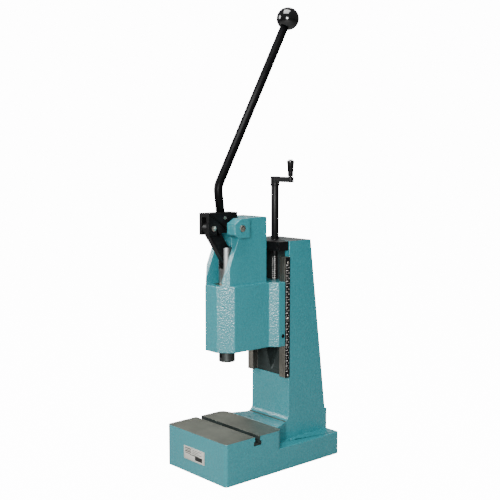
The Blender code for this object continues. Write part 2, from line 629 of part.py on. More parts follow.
def make_return_spring():
    """Compression spring round the ram, from the chamber floor to the ram's collar."""
    radius = (RAM_RADIUS + CHAMBER_RADIUS) / 2 + 0.0002
    wire = SPRING_WIRE / 2
    low = CHAMBER_FLOOR + wire + TOUCH
    high = SPRING_TOP - wire - TOUCH
    per_turn, around = 14, 6
    count = SPRING_TURNS * per_turn
    bm = bmesh.new()
    rings = []
    for i in range(count + 1):
        share = i / count
        angle = 2 * math.pi * SPRING_TURNS * share
        z = low + (high - low) * share
        out = Vector((math.cos(angle), math.sin(angle), 0))
        centre = Vector((0, RAM_Y, z)) + out * radius
        rings.append([bm.verts.new(centre + out * wire * math.cos(2 * math.pi * k / around)
                                   + Vector((0, 0, wire * math.sin(2 * math.pi * k / around))))
                      for k in range(around)])
    for first, second in zip(rings, rings[1:]):
        for k in range(around):
            bm.faces.new((first[k], first[(k + 1) % around], second[(k + 1) % around], second[k]))
    bm.faces.new(rings[0])
    bm.faces.new(rings[-1])
    finish_part(add_object("return_spring", bm), SPRING_STEEL)


def make_key_screw():
    """Dog screw through the left side of the head, whose tip runs in the ram's keyway."""
    tip = -(RAM_RADIUS - KEYWAY_DEPTH + 0.0006)
    seat = -HEAD_WIDTH / 2 + 0.001
    dog = KEYWAY_WIDTH / 2 - 0.0004
    neck = -RAM_RADIUS - SLIDE
    profile = [(0, tip), (dog, tip), (dog, neck), (0.003, neck - 0.0005), (0.003, seat),
               (0.0014, seat), (0.0014, seat + 0.002), (0, seat + 0.002)]
    finish_part(turned("ram_key_screw", "x", (RAM_Y, KEY_HEIGHT), profile, 12), BLACKED)


def make_lead_nut():
    profile = [(NUT_FLANGE, NUT_TOP + TOUCH + NUT_FLANGE_HEIGHT), (NUT_FLANGE, NUT_TOP + TOUCH),
               (NUT_RADIUS, NUT_TOP + TOUCH), (NUT_RADIUS, NUT_TOP - NUT_LENGTH),
               (SCREW_RADIUS + SLIDE, NUT_TOP - NUT_LENGTH),
               (SCREW_RADIUS + SLIDE, NUT_TOP + TOUCH + NUT_FLANGE_HEIGHT)]
    nut = turned("lead_nut", "z", (0, SCREW_Y), profile)
    seat = NUT_TOP + TOUCH + NUT_FLANGE_HEIGHT
    for side, x in (("left", -NUT_SCREW_X), ("right", NUT_SCREW_X)):
        centre = (x, SCREW_Y)
        cut(nut, rod("hole", "z", centre, 0.00125 + PRESS, NUT_TOP - 0.001, seat + 0.001, 8))
        profile = [(0, seat + 0.002), (0.0018, seat + 0.0017), (0.0018, seat + TOUCH),
                   (0.00125, seat + TOUCH), (0.00125, NUT_TOP - 0.009), (0, NUT_TOP - 0.009)]
        finish_part(turned(f"nut_screw_{side}", "z", centre, profile, 8), BLACKED)
    tidy_mesh(nut)
    finish_part(nut, BRONZE)


def make_gib():
    """A flat strip that takes up the play on the left flank, held by a screw at its top end."""
    outer = -HALF_GUIDE + GUIDE_GAP
    inner = outer + GIB_THICKNESS
    lean = DOVETAIL_FLARE * (DOVETAIL_DEPTH - 2 * TOUCH) / DOVETAIL_DEPTH
    deep = GUIDE_Y + DOVETAIL_DEPTH - 2 * TOUCH
    outline = [(outer, GUIDE_Y), (inner, GUIDE_Y), (inner - lean, deep), (outer - lean, deep)]
    gib = prism("gib_strip", outline, "z", HEAD_BOTTOM + 0.001, HEAD_TOP)
    finish_part(gib, MACHINED)
    seat = HEAD_TOP + TOUCH
    profile = [(0, seat + 0.0015), (0.0018, seat + 0.0015), (0.0018, seat + 0.0045),
               (0.0046, seat + 0.0045), (0.0046, seat), (0.0025, seat),
               (0.0025, HEAD_TOP - 0.015), (0, HEAD_TOP - 0.015)]
    finish_part(turned("gib_screw", "z", GIB_SCREW, profile, 16), BLACKED)


def make_head_clamp():
    """The side screw and the shoe it drives against the guide rail."""
    shoe = box("clamp_shoe", (SHOE_LOW_X + TOUCH, CLAMP_Y - 0.005 + TOUCH, CLAMP_Z - 0.009 + TOUCH),
               (SHOE_HIGH_X - TOUCH, GUIDE_Y - TOUCH, CLAMP_Z + 0.009 - TOUCH))
    finish_part(shoe, BRONZE)
    end = FLANGE_WIDTH / 2 + 0.0006
    profile = [(0, end - 0.0025), (0.0018, end - 0.0025), (0.0018, end), (0.0032, end),
               (CLAMP_RADIUS, end - 0.0004), (CLAMP_RADIUS, SHOE_HIGH_X), (0, SHOE_HIGH_X)]
    finish_part(turned("clamp_screw", "x", (CLAMP_Y, CLAMP_Z), profile, 16), BLACKED)


def make_pivot():
    end = LUG_REACH + 0.0012
    profile = [(0, end), (PIVOT_RADIUS - 0.0008, end), (PIVOT_RADIUS, end - 0.0008),
               (PIVOT_RADIUS, -end + 0.0008), (PIVOT_RADIUS - 0.0008, -end), (0, -end)]
    pin = turned("pivot_pin", "x", (RAM_Y, PIVOT_HEIGHT), profile)
    lock_x = -(YOKE_GAP / 2 + LUG_REACH) / 2
    dimple = PIVOT_HEIGHT + PIVOT_RADIUS - 0.001
    cut(pin, rod("dimple", "z", (lock_x, RAM_Y), 0.0025 + PRESS, dimple, YOKE_TOP, 12))
    tidy_mesh(pin)
    finish_part(pin, BRIGHT)
    top = YOKE_TOP - 0.001
    profile = [(0, top - 0.002), (0.0012, top - 0.002), (0.0012, top), (0.0025, top),
               (0.0025, dimple + TOUCH), (0, dimple + TOUCH)]
    finish_part(turned("pin_lock_screw", "z", (lock_x, RAM_Y), profile, 12), BLACKED)
    for side, side_x in (("left", -1), ("right", 1)):
        low_x, high_x = sorted((side_x * (HUB_WIDTH / 2 + TOUCH), side_x * (YOKE_GAP / 2 - TOUCH)))
        spacer = ring(f"pivot_spacer_{side}", "x", (RAM_Y, PIVOT_HEIGHT),
                      PIVOT_RADIUS + PRESS, 0.011, low_x, high_x)
        finish_part(spacer, MACHINED)


# ---------------------------------------------------------------- crank and lead screw
def make_lead_screw():
    journal_top = COLUMN_HEIGHT + 0.014
    shoulder = PLATE_BOTTOM - COLLAR_HEIGHT - 2 * TOUCH
    profile = [(0, journal_top), (JOURNAL_RADIUS, journal_top), (JOURNAL_RADIUS, shoulder),
               (SCREW_RADIUS, shoulder), (SCREW_RADIUS, SCREW_END + 0.001),
               (SCREW_RADIUS - 0.001, SCREW_END), (0, SCREW_END)]
    screw = turned("lead_screw", "z", (0, SCREW_Y), profile)
    cut(screw, rod("pin_hole", "x", (SCREW_Y, TUBE_PIN_Z), PIN_RADIUS + PRESS, -0.02, 0.02, 12))
    tidy_mesh(screw)
    finish_part(screw, MACHINED, (0, SCREW_Y, SCREW_END))
    collar = ring("thrust_collar", "z", (0, SCREW_Y), JOURNAL_RADIUS + PRESS, COLLAR_RADIUS,
                  PLATE_BOTTOM - COLLAR_HEIGHT - TOUCH, PLATE_BOTTOM - TOUCH)
    finish_part(collar, BLACKED, (0, SCREW_Y, PLATE_BOTTOM))


def make_crank():
    bore = JOURNAL_RADIUS + PRESS
    tube_top = CRANK_TOP - 0.003
    tube = ring("crank_tube", "z", (0, SCREW_Y), bore, TUBE_RADIUS, COLUMN_HEIGHT + TOUCH, tube_top)
    for z in (TUBE_PIN_Z, HUB_PIN_Z):
        cut(tube, rod("pin_hole", "x", (SCREW_Y, z), PIN_RADIUS + PRESS, -0.02, 0.02, 12))
    tidy_mesh(tube)
    finish_part(tube, BLACKED, (0, SCREW_Y, COLUMN_HEIGHT))
    arm = rod("crank_arm", "z", (0, SCREW_Y), CRANK_HUB_RADIUS, CRANK_HUB_LOW, CRANK_TOP)
    half = CRANK_ARM_WIDTH / 2
    bar = rounded([(0, SCREW_Y - half, 0), (CRANK_THROW + half, SCREW_Y - half, half * 0.98),
                   (CRANK_THROW + half, SCREW_Y + half, half * 0.98), (0, SCREW_Y + half, 0)], 8)
    unite(arm, prism("bar", bar, "z", ARM_LOW, ARM_LOW + CRANK_ARM_HEIGHT))
    cut(arm, rod("tube_bore", "z", (0, SCREW_Y), TUBE_RADIUS + PRESS,
                 CRANK_HUB_LOW - 0.01, tube_top + TOUCH),
        rod("stud_hole", "z", (CRANK_THROW, SCREW_Y), STUD_RADIUS + PRESS,
            ARM_LOW - 0.01, CRANK_TOP + 0.01, 16),
        rod("pin_hole", "x", (SCREW_Y, HUB_PIN_Z), PIN_RADIUS + PRESS,
            -0.02, CRANK_HUB_RADIUS + 0.0005, 12))
    tidy_mesh(arm)
    finish_part(arm, BLACKED, (0, SCREW_Y, CRANK_HUB_LOW))
    finish_part(rod("tube_pin", "x", (SCREW_Y, TUBE_PIN_Z), PIN_RADIUS,
                    -TUBE_RADIUS, TUBE_RADIUS, 12), MACHINED)
    finish_part(rod("crank_pin", "x", (SCREW_Y, HUB_PIN_Z), PIN_RADIUS, -CRANK_HUB_RADIUS,
                    CRANK_HUB_RADIUS - 0.0002, 12), MACHINED)
    stud_top = CRANK_TOP + GRIP_LENGTH + 0.002
    stud = turned("grip_stud", "z", (CRANK_THROW, SCREW_Y),
                  [(0, stud_top), (0.0042, stud_top), (0.0046, stud_top - 0.0006),
                   (0.0046, stud_top - 0.0016), (STUD_RADIUS, stud_top - 0.0016),
                   (STUD_RADIUS, ARM_LOW - 0.0005), (0, ARM_LOW - 0.0005)], 16)
    finish_part(stud, BLACKED)
    low = CRANK_TOP + 0.0002
    high = stud_top - 0.0016 - TOUCH
    inner = STUD_RADIUS + SLIDE
    grip = turned("crank_grip", "z", (CRANK_THROW, SCREW_Y),
                  [(inner, high), (GRIP_TOP_RADIUS - 0.0015, high), (GRIP_TOP_RADIUS, high - 0.002),
                   (GRIP_LOW_RADIUS, low + 0.003), (GRIP_LOW_RADIUS - 0.0005, low), (inner, low)])
    finish_part(grip, PHENOLIC, (CRANK_THROW, SCREW_Y, low))


# ---------------------------------------------------------------- lever


def make_lever_hub():
    front = RAM_Y - HUB_FRONT
    rear = RAM_Y + HUB_REAR
    low = PIVOT_HEIGHT - HUB_BOTTOM
    top = PIVOT_HEIGHT + HUB_TOP
    pin_low = PIVOT_HEIGHT - LINK_TOP_BOSS
    outline = rounded([(front, pin_low, 0.001), (UPPER_PIN_Y + 0.012, pin_low, 0.004),
                       (UPPER_PIN_Y + 0.018, low, 0.003), (rear, low, 0.006), (rear, top, 0.001),
                       (front, top, 0.001)], 4)
    hub = prism("lever_hub", outline, "x", -HUB_WIDTH / 2, HUB_WIDTH / 2)
    half_fork = HUB_FORK / 2
    drop = PIVOT_HEIGHT - LOWER_PIN_Z
    link_rear = UPPER_PIN_Y + (HUB_BOTTOM * CRANK_RADIUS + LINK_TOP_BOSS * LINK_LENGTH) / drop
    cut(hub,
        box("fork", (-half_fork, front - 0.01, pin_low - 0.01),
            (half_fork, UPPER_PIN_Y + LINK_TOP_BOSS + 0.003,
             PIVOT_HEIGHT + LINK_TOP_BOSS + FORK_HEADROOM)),
        box("fork_root", (-half_fork, UPPER_PIN_Y, pin_low - 0.01),
            (half_fork, link_rear + FORK_ROOM, PIVOT_HEIGHT + 0.003)),
        rod("pivot_bore", "x", (RAM_Y, PIVOT_HEIGHT), PIVOT_RADIUS + HUB_BUSH_WALL + PRESS,
            -0.03, 0.03),
        rod("link_pin_bore", "x", (UPPER_PIN_Y, PIVOT_HEIGHT), LINK_PIN_RADIUS + PRESS,
            -0.03, 0.03, 20),
        lever_tube("socket", LEVER_RADIUS + PRESS, LEVER_SINK + TOUCH, 0.02),
        rod("set_hole", "x", SET_SCREW, 0.003 + PRESS, 0, 0.03, 12))
    tidy_mesh(hub)
    finish_part(hub, BLACKED, (0, RAM_Y, PIVOT_HEIGHT))


def lever_tube(name, radius, sink, rise):
    """A straight round bar along the foot of the lever."""
    along = (LEVER_BEND - LEVER_ROOT).normalized()
    return swept(name, [LEVER_ROOT - along * sink, LEVER_ROOT + along * rise], radius, 20)


def swept(name, route, radius, sides):
    """A round bar along a route that stays in the mid plane."""
    bm = bmesh.new()
    rings = []
    for i, point in enumerate(route):
        ahead = route[min(i + 1, len(route) - 1)] - point
        behind = point - route[max(i - 1, 0)]
        along = (ahead.normalized() + behind.normalized()).normalized()
        side = Vector((1, 0, 0))
        over = along.cross(side)
        stretch = 1 / max(0.5, along.dot((ahead if ahead.length else behind).normalized()))
        step = 2 * math.pi / sides
        rings.append([bm.verts.new(point + radius * (side * math.cos(step * k)
                                                     + over * stretch * math.sin(step * k)))
                      for k in range(sides)])
    for first, second in zip(rings, rings[1:]):
        for k in range(sides):
            bm.faces.new((first[k], first[(k + 1) % sides], second[(k + 1) % sides], second[k]))
    bm.faces.new(rings[0])
    bm.faces.new(rings[-1])
    return add_object(name, bm)


def bent_route():
    """The lever's centre line: straight foot, bend arc, straight arm into the ball."""
    foot = (LEVER_BEND - LEVER_ROOT).normalized()
    arm = (LEVER_END - LEVER_BEND).normalized()
    bend_radius = 0.030
    half_turn = foot.angle(arm) / 2
    set_back = bend_radius * math.tan(half_turn)
    start = LEVER_BEND - foot * set_back
    steps = 6
    route = [LEVER_ROOT - foot * LEVER_SINK, start]
    turn_axis = foot.cross(arm).normalized()
    centre = start + turn_axis.cross(foot) * bend_radius
    for k in range(1, steps):
        angle = 2 * half_turn * k / steps
        spoke = start - centre
        route.append(centre + spoke * math.cos(angle) + turn_axis.cross(spoke) * math.sin(angle))
    route += [LEVER_BEND + arm * set_back, LEVER_END + arm * BALL_SINK]
    return route, arm


def make_lever():
    route, arm = bent_route()
    lever = swept("lever_rod", route, LEVER_RADIUS, 20)
    flat_x = LEVER_RADIUS - 0.001
    cut(lever, box("flat", (flat_x, SET_SCREW[0] - 0.006, SET_SCREW[1] - 0.006),
                   (flat_x + 0.01, SET_SCREW[0] + 0.006, SET_SCREW[1] + 0.006)))
    tidy_mesh(lever)
    finish_part(lever, BLACKED, (0, RAM_Y, PIVOT_HEIGHT))
    bm = bmesh.new()
    bmesh.ops.create_uvsphere(bm, u_segments=24, v_segments=14, radius=BALL_RADIUS)
    tilt = Vector((0, 0, 1)).rotation_difference(arm).to_matrix()
    bmesh.ops.rotate(bm, cent=(0, 0, 0), matrix=tilt, verts=bm.verts)
    bmesh.ops.translate(bm, vec=BALL_CENTRE, verts=bm.verts)
    ball = add_object("ball_knob", bm)
    cut(ball, swept("mouth", [LEVER_END - arm * 0.02, LEVER_END], LEVER_RADIUS + 0.02, 20),
        swept("socket", [LEVER_END - arm * 0.02, LEVER_END + arm * (BALL_SINK + TOUCH)],
              LEVER_RADIUS + PRESS, 20))
    tidy_mesh(ball)
    finish_part(ball, PHENOLIC, (0, RAM_Y, PIVOT_HEIGHT))
    tip = LEVER_RADIUS - 0.001 + TOUCH
    face = HUB_WIDTH / 2 + 0.0004
    profile = [(0, face - 0.002), (0.0013, face - 0.002), (0.0013, face), (0.0028, face),
               (0.003, face - 0.0003), (0.003, tip), (0, tip)]
    finish_part(turned("lever_set_screw", "x", SET_SCREW, profile, 12), BRIGHT)
    for side, side_x in (("left", -1), ("right", 1)):
        low_x, high_x = sorted((side_x * 0.0005, side_x * HUB_WIDTH / 2))
        bush = ring(f"hub_bush_{side}", "x", (RAM_Y, PIVOT_HEIGHT), PIVOT_RADIUS + SLIDE,
                    PIVOT_RADIUS + HUB_BUSH_WALL, low_x, high_x)
        finish_part(bush, BRONZE)
    end = HUB_WIDTH / 2 + 0.0005
    profile = [(0, end), (LINK_PIN_RADIUS - 0.0005, end), (LINK_PIN_RADIUS, end - 0.0005),
               (LINK_PIN_RADIUS, -end + 0.0005), (LINK_PIN_RADIUS - 0.0005, -end), (0, -end)]
    finish_part(turned("link_pin", "x", (UPPER_PIN_Y, PIVOT_HEIGHT), profile, 20), BLACKED)


# ---------------------------------------------------------------- toggle link


def link_outline():
    """Two round eyes joined by straight edges."""
    top = Vector((UPPER_PIN_Y, PIVOT_HEIGHT))
    low = Vector((RAM_Y, LOWER_PIN_Z))
    along = (low - top).normalized()
    slope = math.atan2(along.y, along.x)
    tilt = math.asin((LINK_LOW_BOSS - LINK_TOP_BOSS) / LINK_LENGTH)
    points = []
    steps = 12
    quarter = math.pi / 2
    for centre, radius, first, last in ((top, LINK_TOP_BOSS, quarter + tilt, 3 * quarter - tilt),
                                        (low, LINK_LOW_BOSS, -quarter - tilt, quarter + tilt)):
        for k in range(steps + 1):
            angle = slope + first + (last - first) * k / steps
            points.append((centre.x + radius * math.cos(angle),
                           centre.y + radius * math.sin(angle)))
    return points


def make_link():
    half = LINK_THICKNESS / 2
    link = prism("toggle_link", link_outline(), "x", -half, half)
    cut(link, rod("top_eye", "x", (UPPER_PIN_Y, PIVOT_HEIGHT), LINK_PIN_RADIUS + LINK_BUSH_WALL + PRESS,
                  -0.02, 0.02),
        rod("low_eye", "x", (RAM_Y, LOWER_PIN_Z), LOW_EYE_RADIUS, -0.02, 0.02))
    tidy_mesh(link)
    finish_part(link, BLACKED, (0, UPPER_PIN_Y, PIVOT_HEIGHT))
    bush = ring("link_bush", "x", (UPPER_PIN_Y, PIVOT_HEIGHT), LINK_PIN_RADIUS + SLIDE,
                LINK_PIN_RADIUS + LINK_BUSH_WALL, -half, half, 20)
    finish_part(bush, BRONZE)


# ---------------------------------------------------------------- ram


def make_ram():
    profile = [(0, RAM_TOP), (RAM_RADIUS - 0.001, RAM_TOP), (RAM_RADIUS, RAM_TOP - 0.001),
               (RAM_RADIUS, RAM_NOSE + 0.001), (RAM_RADIUS - 0.001, RAM_NOSE), (0, RAM_NOSE)]
    ram = turned("ram", "z", (0, RAM_Y), profile, 32)
    slot_floor = LOWER_PIN_Z - LINK_LOW_BOSS - 0.005
    key_half = KEYWAY_WIDTH / 2
    groove = RAM_RADIUS - 0.0015
    cut(ram,
        box("fork", (-RAM_SLOT / 2, RAM_Y - 0.03, slot_floor),
            (RAM_SLOT / 2, RAM_Y + 0.03, RAM_TOP + 0.01)),
        rod("pin_bore", "x", (RAM_Y, LOWER_PIN_Z), LOW_PIN_RADIUS + PRESS, -0.03, 0.03, 20),
        rod("tool_bore", "z", (0, RAM_Y), TOOL_BORE / 2,
            RAM_NOSE - 0.01, RAM_NOSE + TOOL_BORE_DEPTH),
        rod("screw_hole", "y", (0, TOOL_SCREW_Z), 0.003 + PRESS, RAM_Y - 0.03, RAM_Y, 12),
        box("keyway", (-RAM_RADIUS - 0.01, RAM_Y - key_half, KEY_HEIGHT - 0.005),
            (-RAM_RADIUS + KEYWAY_DEPTH, RAM_Y + key_half, KEY_HEIGHT + RAM_STROKE + 0.005)),
        ring("collar_groove", "z", (0, RAM_Y), groove, RAM_RADIUS + 0.01,
             SPRING_TOP, SPRING_TOP + SPRING_COLLAR, 32))
    tidy_mesh(ram)
    finish_part(ram, GROUND, (0, RAM_Y, RAM_NOSE))
    collar = ring("spring_collar", "z", (0, RAM_Y), groove + PRESS, CHAMBER_RADIUS - 0.001,
                  SPRING_TOP + TOUCH, SPRING_TOP + SPRING_COLLAR - TOUCH, 32)
    finish_part(collar, MACHINED)
    end = math.sqrt((RAM_RADIUS - 0.0004) ** 2 - LOW_PIN_RADIUS ** 2)
    finish_part(rod("ram_pin", "x", (RAM_Y, LOWER_PIN_Z), LOW_PIN_RADIUS, -end, end, 20), BRIGHT)
    face = RAM_Y - RAM_RADIUS - 0.0012
    profile = [(0, face + 0.0018), (0.0014, face + 0.0018), (0.0014, face), (0.003, face),
               (0.003, RAM_Y - TOOL_BORE / 2 - 0.0006), (0, RAM_Y - TOOL_BORE / 2 - 0.0006)]
    finish_part(turned("tool_screw", "y", (0, TOOL_SCREW_Z), profile, 12), BLACKED)


def main():
    for obj in list(bpy.data.objects):
        bpy.data.objects.remove(obj, do_unlink=True)
    make_frame_casting()
    make_scale()
    make_nameplate()
    make_bearing_plate()
    make_head_casting()
    make_ram_bushes()
    make_return_spring()
    make_key_screw()
    make_lead_nut()
    make_gib()
    make_head_clamp()
    make_pivot()
    make_lead_screw()
    make_crank()
    make_lever_hub()
    make_lever()
    make_link()
    make_ram()


main()
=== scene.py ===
"""Looks of the bench toggle press, piece by piece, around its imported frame.

Metres, +Z up, front towards -Y, right-hand side towards +X.
"""
import json
import math

import bmesh
import bpy
from mathutils import Matrix, Vector


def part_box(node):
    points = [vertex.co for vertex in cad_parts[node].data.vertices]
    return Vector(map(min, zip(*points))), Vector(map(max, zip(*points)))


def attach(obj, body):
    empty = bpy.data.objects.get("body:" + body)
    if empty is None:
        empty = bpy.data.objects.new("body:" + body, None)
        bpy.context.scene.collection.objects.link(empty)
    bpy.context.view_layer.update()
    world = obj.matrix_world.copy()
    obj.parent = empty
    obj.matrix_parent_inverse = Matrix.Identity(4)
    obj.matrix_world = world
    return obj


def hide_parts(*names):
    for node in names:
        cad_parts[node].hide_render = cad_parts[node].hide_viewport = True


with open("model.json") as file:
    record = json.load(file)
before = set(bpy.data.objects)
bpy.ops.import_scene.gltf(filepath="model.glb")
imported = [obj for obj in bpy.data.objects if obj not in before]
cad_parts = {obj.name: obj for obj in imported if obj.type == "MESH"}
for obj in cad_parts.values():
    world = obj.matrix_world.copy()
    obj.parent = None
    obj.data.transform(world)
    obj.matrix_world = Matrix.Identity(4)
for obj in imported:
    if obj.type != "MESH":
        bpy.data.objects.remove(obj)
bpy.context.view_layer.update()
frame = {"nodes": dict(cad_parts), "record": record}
mm = 0.001

# ---------------------------------------------------------------- viewpoint
# The press is seen from its right front corner, from about a metre and a half away and a
# little above the head, through a long lens that keeps its uprights parallel.
viewpoint = bpy.data.objects.new("viewpoint", bpy.data.cameras.new("viewpoint"))
viewpoint.data.sensor_width = 36
viewpoint.data.lens = 65.6
viewpoint.location = (1.2615, -1.1234, 0.5835)
viewpoint.rotation_euler = (math.radians(90 - 6.193), 0, math.radians(48.629))
bpy.context.scene.collection.objects.link(viewpoint)
bpy.context.scene.camera = viewpoint


# ---------------------------------------------------------------- studio
# A white floor in a white room, a softbox beside the viewer for the sheen on the corners,
# one at the left front, one overhead and one behind so that no side is left dark.
def linear(colour):
    """An sRGB hex colour as linear RGBA."""
    parts = [int(colour[i:i + 2], 16) / 255 for i in (1, 3, 5)]
    curved = [c / 12.92 if c <= 0.04045 else ((c + 0.055) / 1.055) ** 2.4 for c in parts]
    return (*curved, 1)


def add(tree, kind, inputs=(), **settings):
    """Adds a node; inputs holds values or other nodes' outputs, settings are its own options."""
    node = tree.nodes.new(kind)
    for name, value in settings.items():
        setattr(node, name, value)
    for socket, value in dict(inputs).items():
        if isinstance(value, bpy.types.NodeSocket):
            tree.links.new(value, node.inputs[socket])
        else:
            node.inputs[socket].default_value = value
    return node


room = bpy.data.worlds.new("white_room")
bpy.context.scene.world = room
room.use_nodes = True
room.node_tree.nodes.clear()
seen_white = 14.0  # bright enough for the room and the floor to look plain white
wall_light = add(room.node_tree, "ShaderNodeBackground", {"Color": linear("#ffffff"), "Strength": 0.10})
wall_seen = add(room.node_tree, "ShaderNodeBackground", {"Color": linear("#ffffff"),
                                                         "Strength": seen_white})
rays = add(room.node_tree, "ShaderNodeLightPath")
both = add(room.node_tree, "ShaderNodeMixShader", {0: rays.outputs["Is Camera Ray"],
                                                   1: wall_light.outputs[0], 2: wall_seen.outputs[0]})
add(room.node_tree, "ShaderNodeOutputWorld", {"Surface": both.outputs[0]})

floor_finish = bpy.data.materials.new("white_floor")
floor_finish.use_nodes = True
tree = floor_finish.node_tree
matt = tree.nodes["Principled BSDF"]
matt.inputs["Base Color"].default_value = linear("#8c8c8a")
matt.inputs["Roughness"].default_value = 0.9
rays = add(tree, "ShaderNodeLightPath")
glow = add(tree, "ShaderNodeMath", {0: rays.outputs["Is Camera Ray"], 1: seen_white},
           operation="MULTIPLY")
matt.inputs["Emission Color"].default_value = linear("#ffffff")
tree.links.new(glow.outputs[0], matt.inputs["Emission Strength"])
work = bmesh.new()
bmesh.ops.create_circle(work, cap_ends=True, radius=12, segments=96)
floor_mesh = bpy.data.meshes.new("floor")
work.to_mesh(floor_mesh)
work.free()
floor_mesh.materials.append(floor_finish)
floor = bpy.data.objects.new("floor", floor_mesh)
bpy.context.scene.collection.objects.link(floor)


def softbox(name, place, aim, size, watts):
    """A square area light that faces a point."""
    lamp = bpy.data.objects.new(name, bpy.data.lights.new(name, "AREA"))
    lamp.data.shape = "SQUARE"
    lamp.data.size = size
    lamp.data.energy = watts
    lamp.location = place
    lamp.rotation_euler = (Vector(aim) - Vector(place)).to_track_quat("-Z", "Y").to_euler()
    bpy.context.scene.collection.objects.link(lamp)


middle = (0, 0, 0.35)
softbox("key_softbox", (1.36, -1.56, 0.78), (0, 0, 0.55), 0.6, 56)
softbox("left_softbox", (-1.50, -1.45, 1.25), middle, 0.8, 30)
softbox("top_softbox", (0.15, -0.35, 1.9), middle, 1.0, 40)
softbox("back_softbox", (-1.3, 1.3, 2.0), middle, 1.0, 18)


# ---------------------------------------------------------------- frame casting
# Grey iron casting: base, T-slot table and column in one.  Cast faces are enamelled, the
# table is surface ground and the guide is milled; cast edges are rounded, cut ones only eased.
def new_finish(name, constants):
    """A material whose shader starts from constants; gives back the material, tree and shader."""
    material = bpy.data.materials.new(name)
    material.use_nodes = True
    shader = material.node_tree.nodes["Principled BSDF"]
    for socket, value in constants.items():
        shader.inputs[socket].default_value = value
    return material, material.node_tree, shader


def hammered_enamel():
    """Hammer-finish enamel sprayed on iron: small overlapping dimples that break up the gloss."""
    material, tree, shader = new_finish("hammered_enamel", {
        "IOR": 1.5, "Coat Weight": 1.0, "Coat Roughness": 0.18})
    place = add(tree, "ShaderNodeTexCoord").outputs["Object"]
    slow = add(tree, "ShaderNodeTexNoise", {"Vector": place, "Scale": 1 / (45 * mm), "Detail": 3.0})
    fine = add(tree, "ShaderNodeTexNoise", {"Vector": place, "Scale": 1 / (2.2 * mm), "Detail": 2.0})
    dimples = add(tree, "ShaderNodeTexVoronoi", {"Vector": place, "Scale": 1 / (3.0 * mm),
                                                 "Smoothness": 0.35}, feature="SMOOTH_F1")
    cloud = add(tree, "ShaderNodeMix", {"Factor": slow.outputs["Fac"], "A": linear("#217983"),
                                        "B": linear("#27818b")}, data_type="RGBA")
    shade = add(tree, "ShaderNodeMapRange", {"Value": fine.outputs["Fac"], "From Min": 0.35,
                                             "From Max": 0.65, "To Min": 0.0, "To Max": 0.35})
    tint = add(tree, "ShaderNodeMix", {"Factor": shade.outputs[0], "A": cloud.outputs["Result"],
                                       "B": linear("#429aa1")}, data_type="RGBA")
    tree.links.new(tint.outputs["Result"], shader.inputs["Base Color"])
    gloss = add(tree, "ShaderNodeMapRange", {"Value": fine.outputs["Fac"], "From Min": 0.3,
                                             "From Max": 0.7, "To Min": 0.30, "To Max": 0.46})
    tree.links.new(gloss.outputs[0], shader.inputs["Roughness"])
    height = add(tree, "ShaderNodeMath", {0: dimples.outputs["Distance"], 1: fine.outputs["Fac"]},
                 operation="ADD")
    bump = add(tree, "ShaderNodeBump", {"Height": height.outputs[0], "Strength": 0.9,
                                        "Distance": 0.5 * mm})
    tree.links.new(bump.outputs["Normal"], shader.inputs["Normal"])
    tree.links.new(bump.outputs["Normal"], shader.inputs["Coat Normal"])
    return material


def cut_metal(name, colour, shade, grain, roughness, bump_depth=0.03, metallic=1.0):
    """Cut or ground metal: two close tones and a bump drawn out along the tool's path.

    grain is the size of one mark along X, Y and Z in millimetres.
    """
    material, tree, shader = new_finish(name, {"Metallic": metallic})
    place = add(tree, "ShaderNodeTexCoord").outputs["Object"]
    along = add(tree, "ShaderNodeMapping", {"Vector": place,
                                            "Scale": [1 / (size * mm) for size in grain]})
    marks = add(tree, "ShaderNodeTexNoise", {"Vector": along.outputs[0], "Scale": 1.0, "Detail": 4.0})
    blotch = add(tree, "ShaderNodeTexNoise", {"Vector": place, "Scale": 1 / (30 * mm), "Detail": 3.0})
    both = add(tree, "ShaderNodeMath", {0: marks.outputs["Fac"], 1: blotch.outputs["Fac"]},
               operation="MULTIPLY")
    share = add(tree, "ShaderNodeMapRange", {"Value": both.outputs[0], "From Min": 0.12,
                                             "From Max": 0.40})
    tone = add(tree, "ShaderNodeMix", {"Factor": share.outputs[0], "A": linear(shade),
                                       "B": linear(colour)}, data_type="RGBA")
    tree.links.new(tone.outputs["Result"], shader.inputs["Base Color"])
    gloss = add(tree, "ShaderNodeMapRange", {"Value": marks.outputs["Fac"], "From Min": 0.3,
                                             "From Max": 0.7, "To Min": roughness - 0.07,
                                             "To Max": roughness + 0.07})
    tree.links.new(gloss.outputs[0], shader.inputs["Roughness"])
    bump = add(tree, "ShaderNodeBump", {"Height": marks.outputs["Fac"], "Strength": 0.4,
                                        "Distance": bump_depth * mm})
    tree.links.new(bump.outputs["Normal"], shader.inputs["Normal"])
    return material


enamel = hammered_enamel()
# grinding lines run across the table, milling lines up the guide
ground_table = cut_metal("ground_cast_iron", "#777a70", "#64675f", (60, 0.8, 60), 0.46, metallic=0.85)
milled_guide = cut_metal("milled_cast_iron", "#98948b", "#7c7972", (0.9, 0.9, 70), 0.5)
# near-black teal iron for the T-slot, the screw groove and the guide's floor: painted shade for those
# recesses, darker than any cut iron
slot_shade_iron = cut_metal("slot_iron_painted_shade", "#34403f", "#232a29", (40, 0.9, 0.9), 0.55, metallic=0.4)


def merged_copy(node):
    """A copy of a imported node's mesh, its loose triangles joined back into whole faces."""
    work = bmesh.new()
    work.from_mesh(frame["nodes"][node].data)
    bmesh.ops.remove_doubles(work, verts=work.verts, dist=2e-6)
    bmesh.ops.dissolve_limit(work, angle_limit=math.radians(0.6), verts=work.verts, edges=work.edges)
    for face in work.faces:
        face.smooth = True
    work.normal_update()
    return work


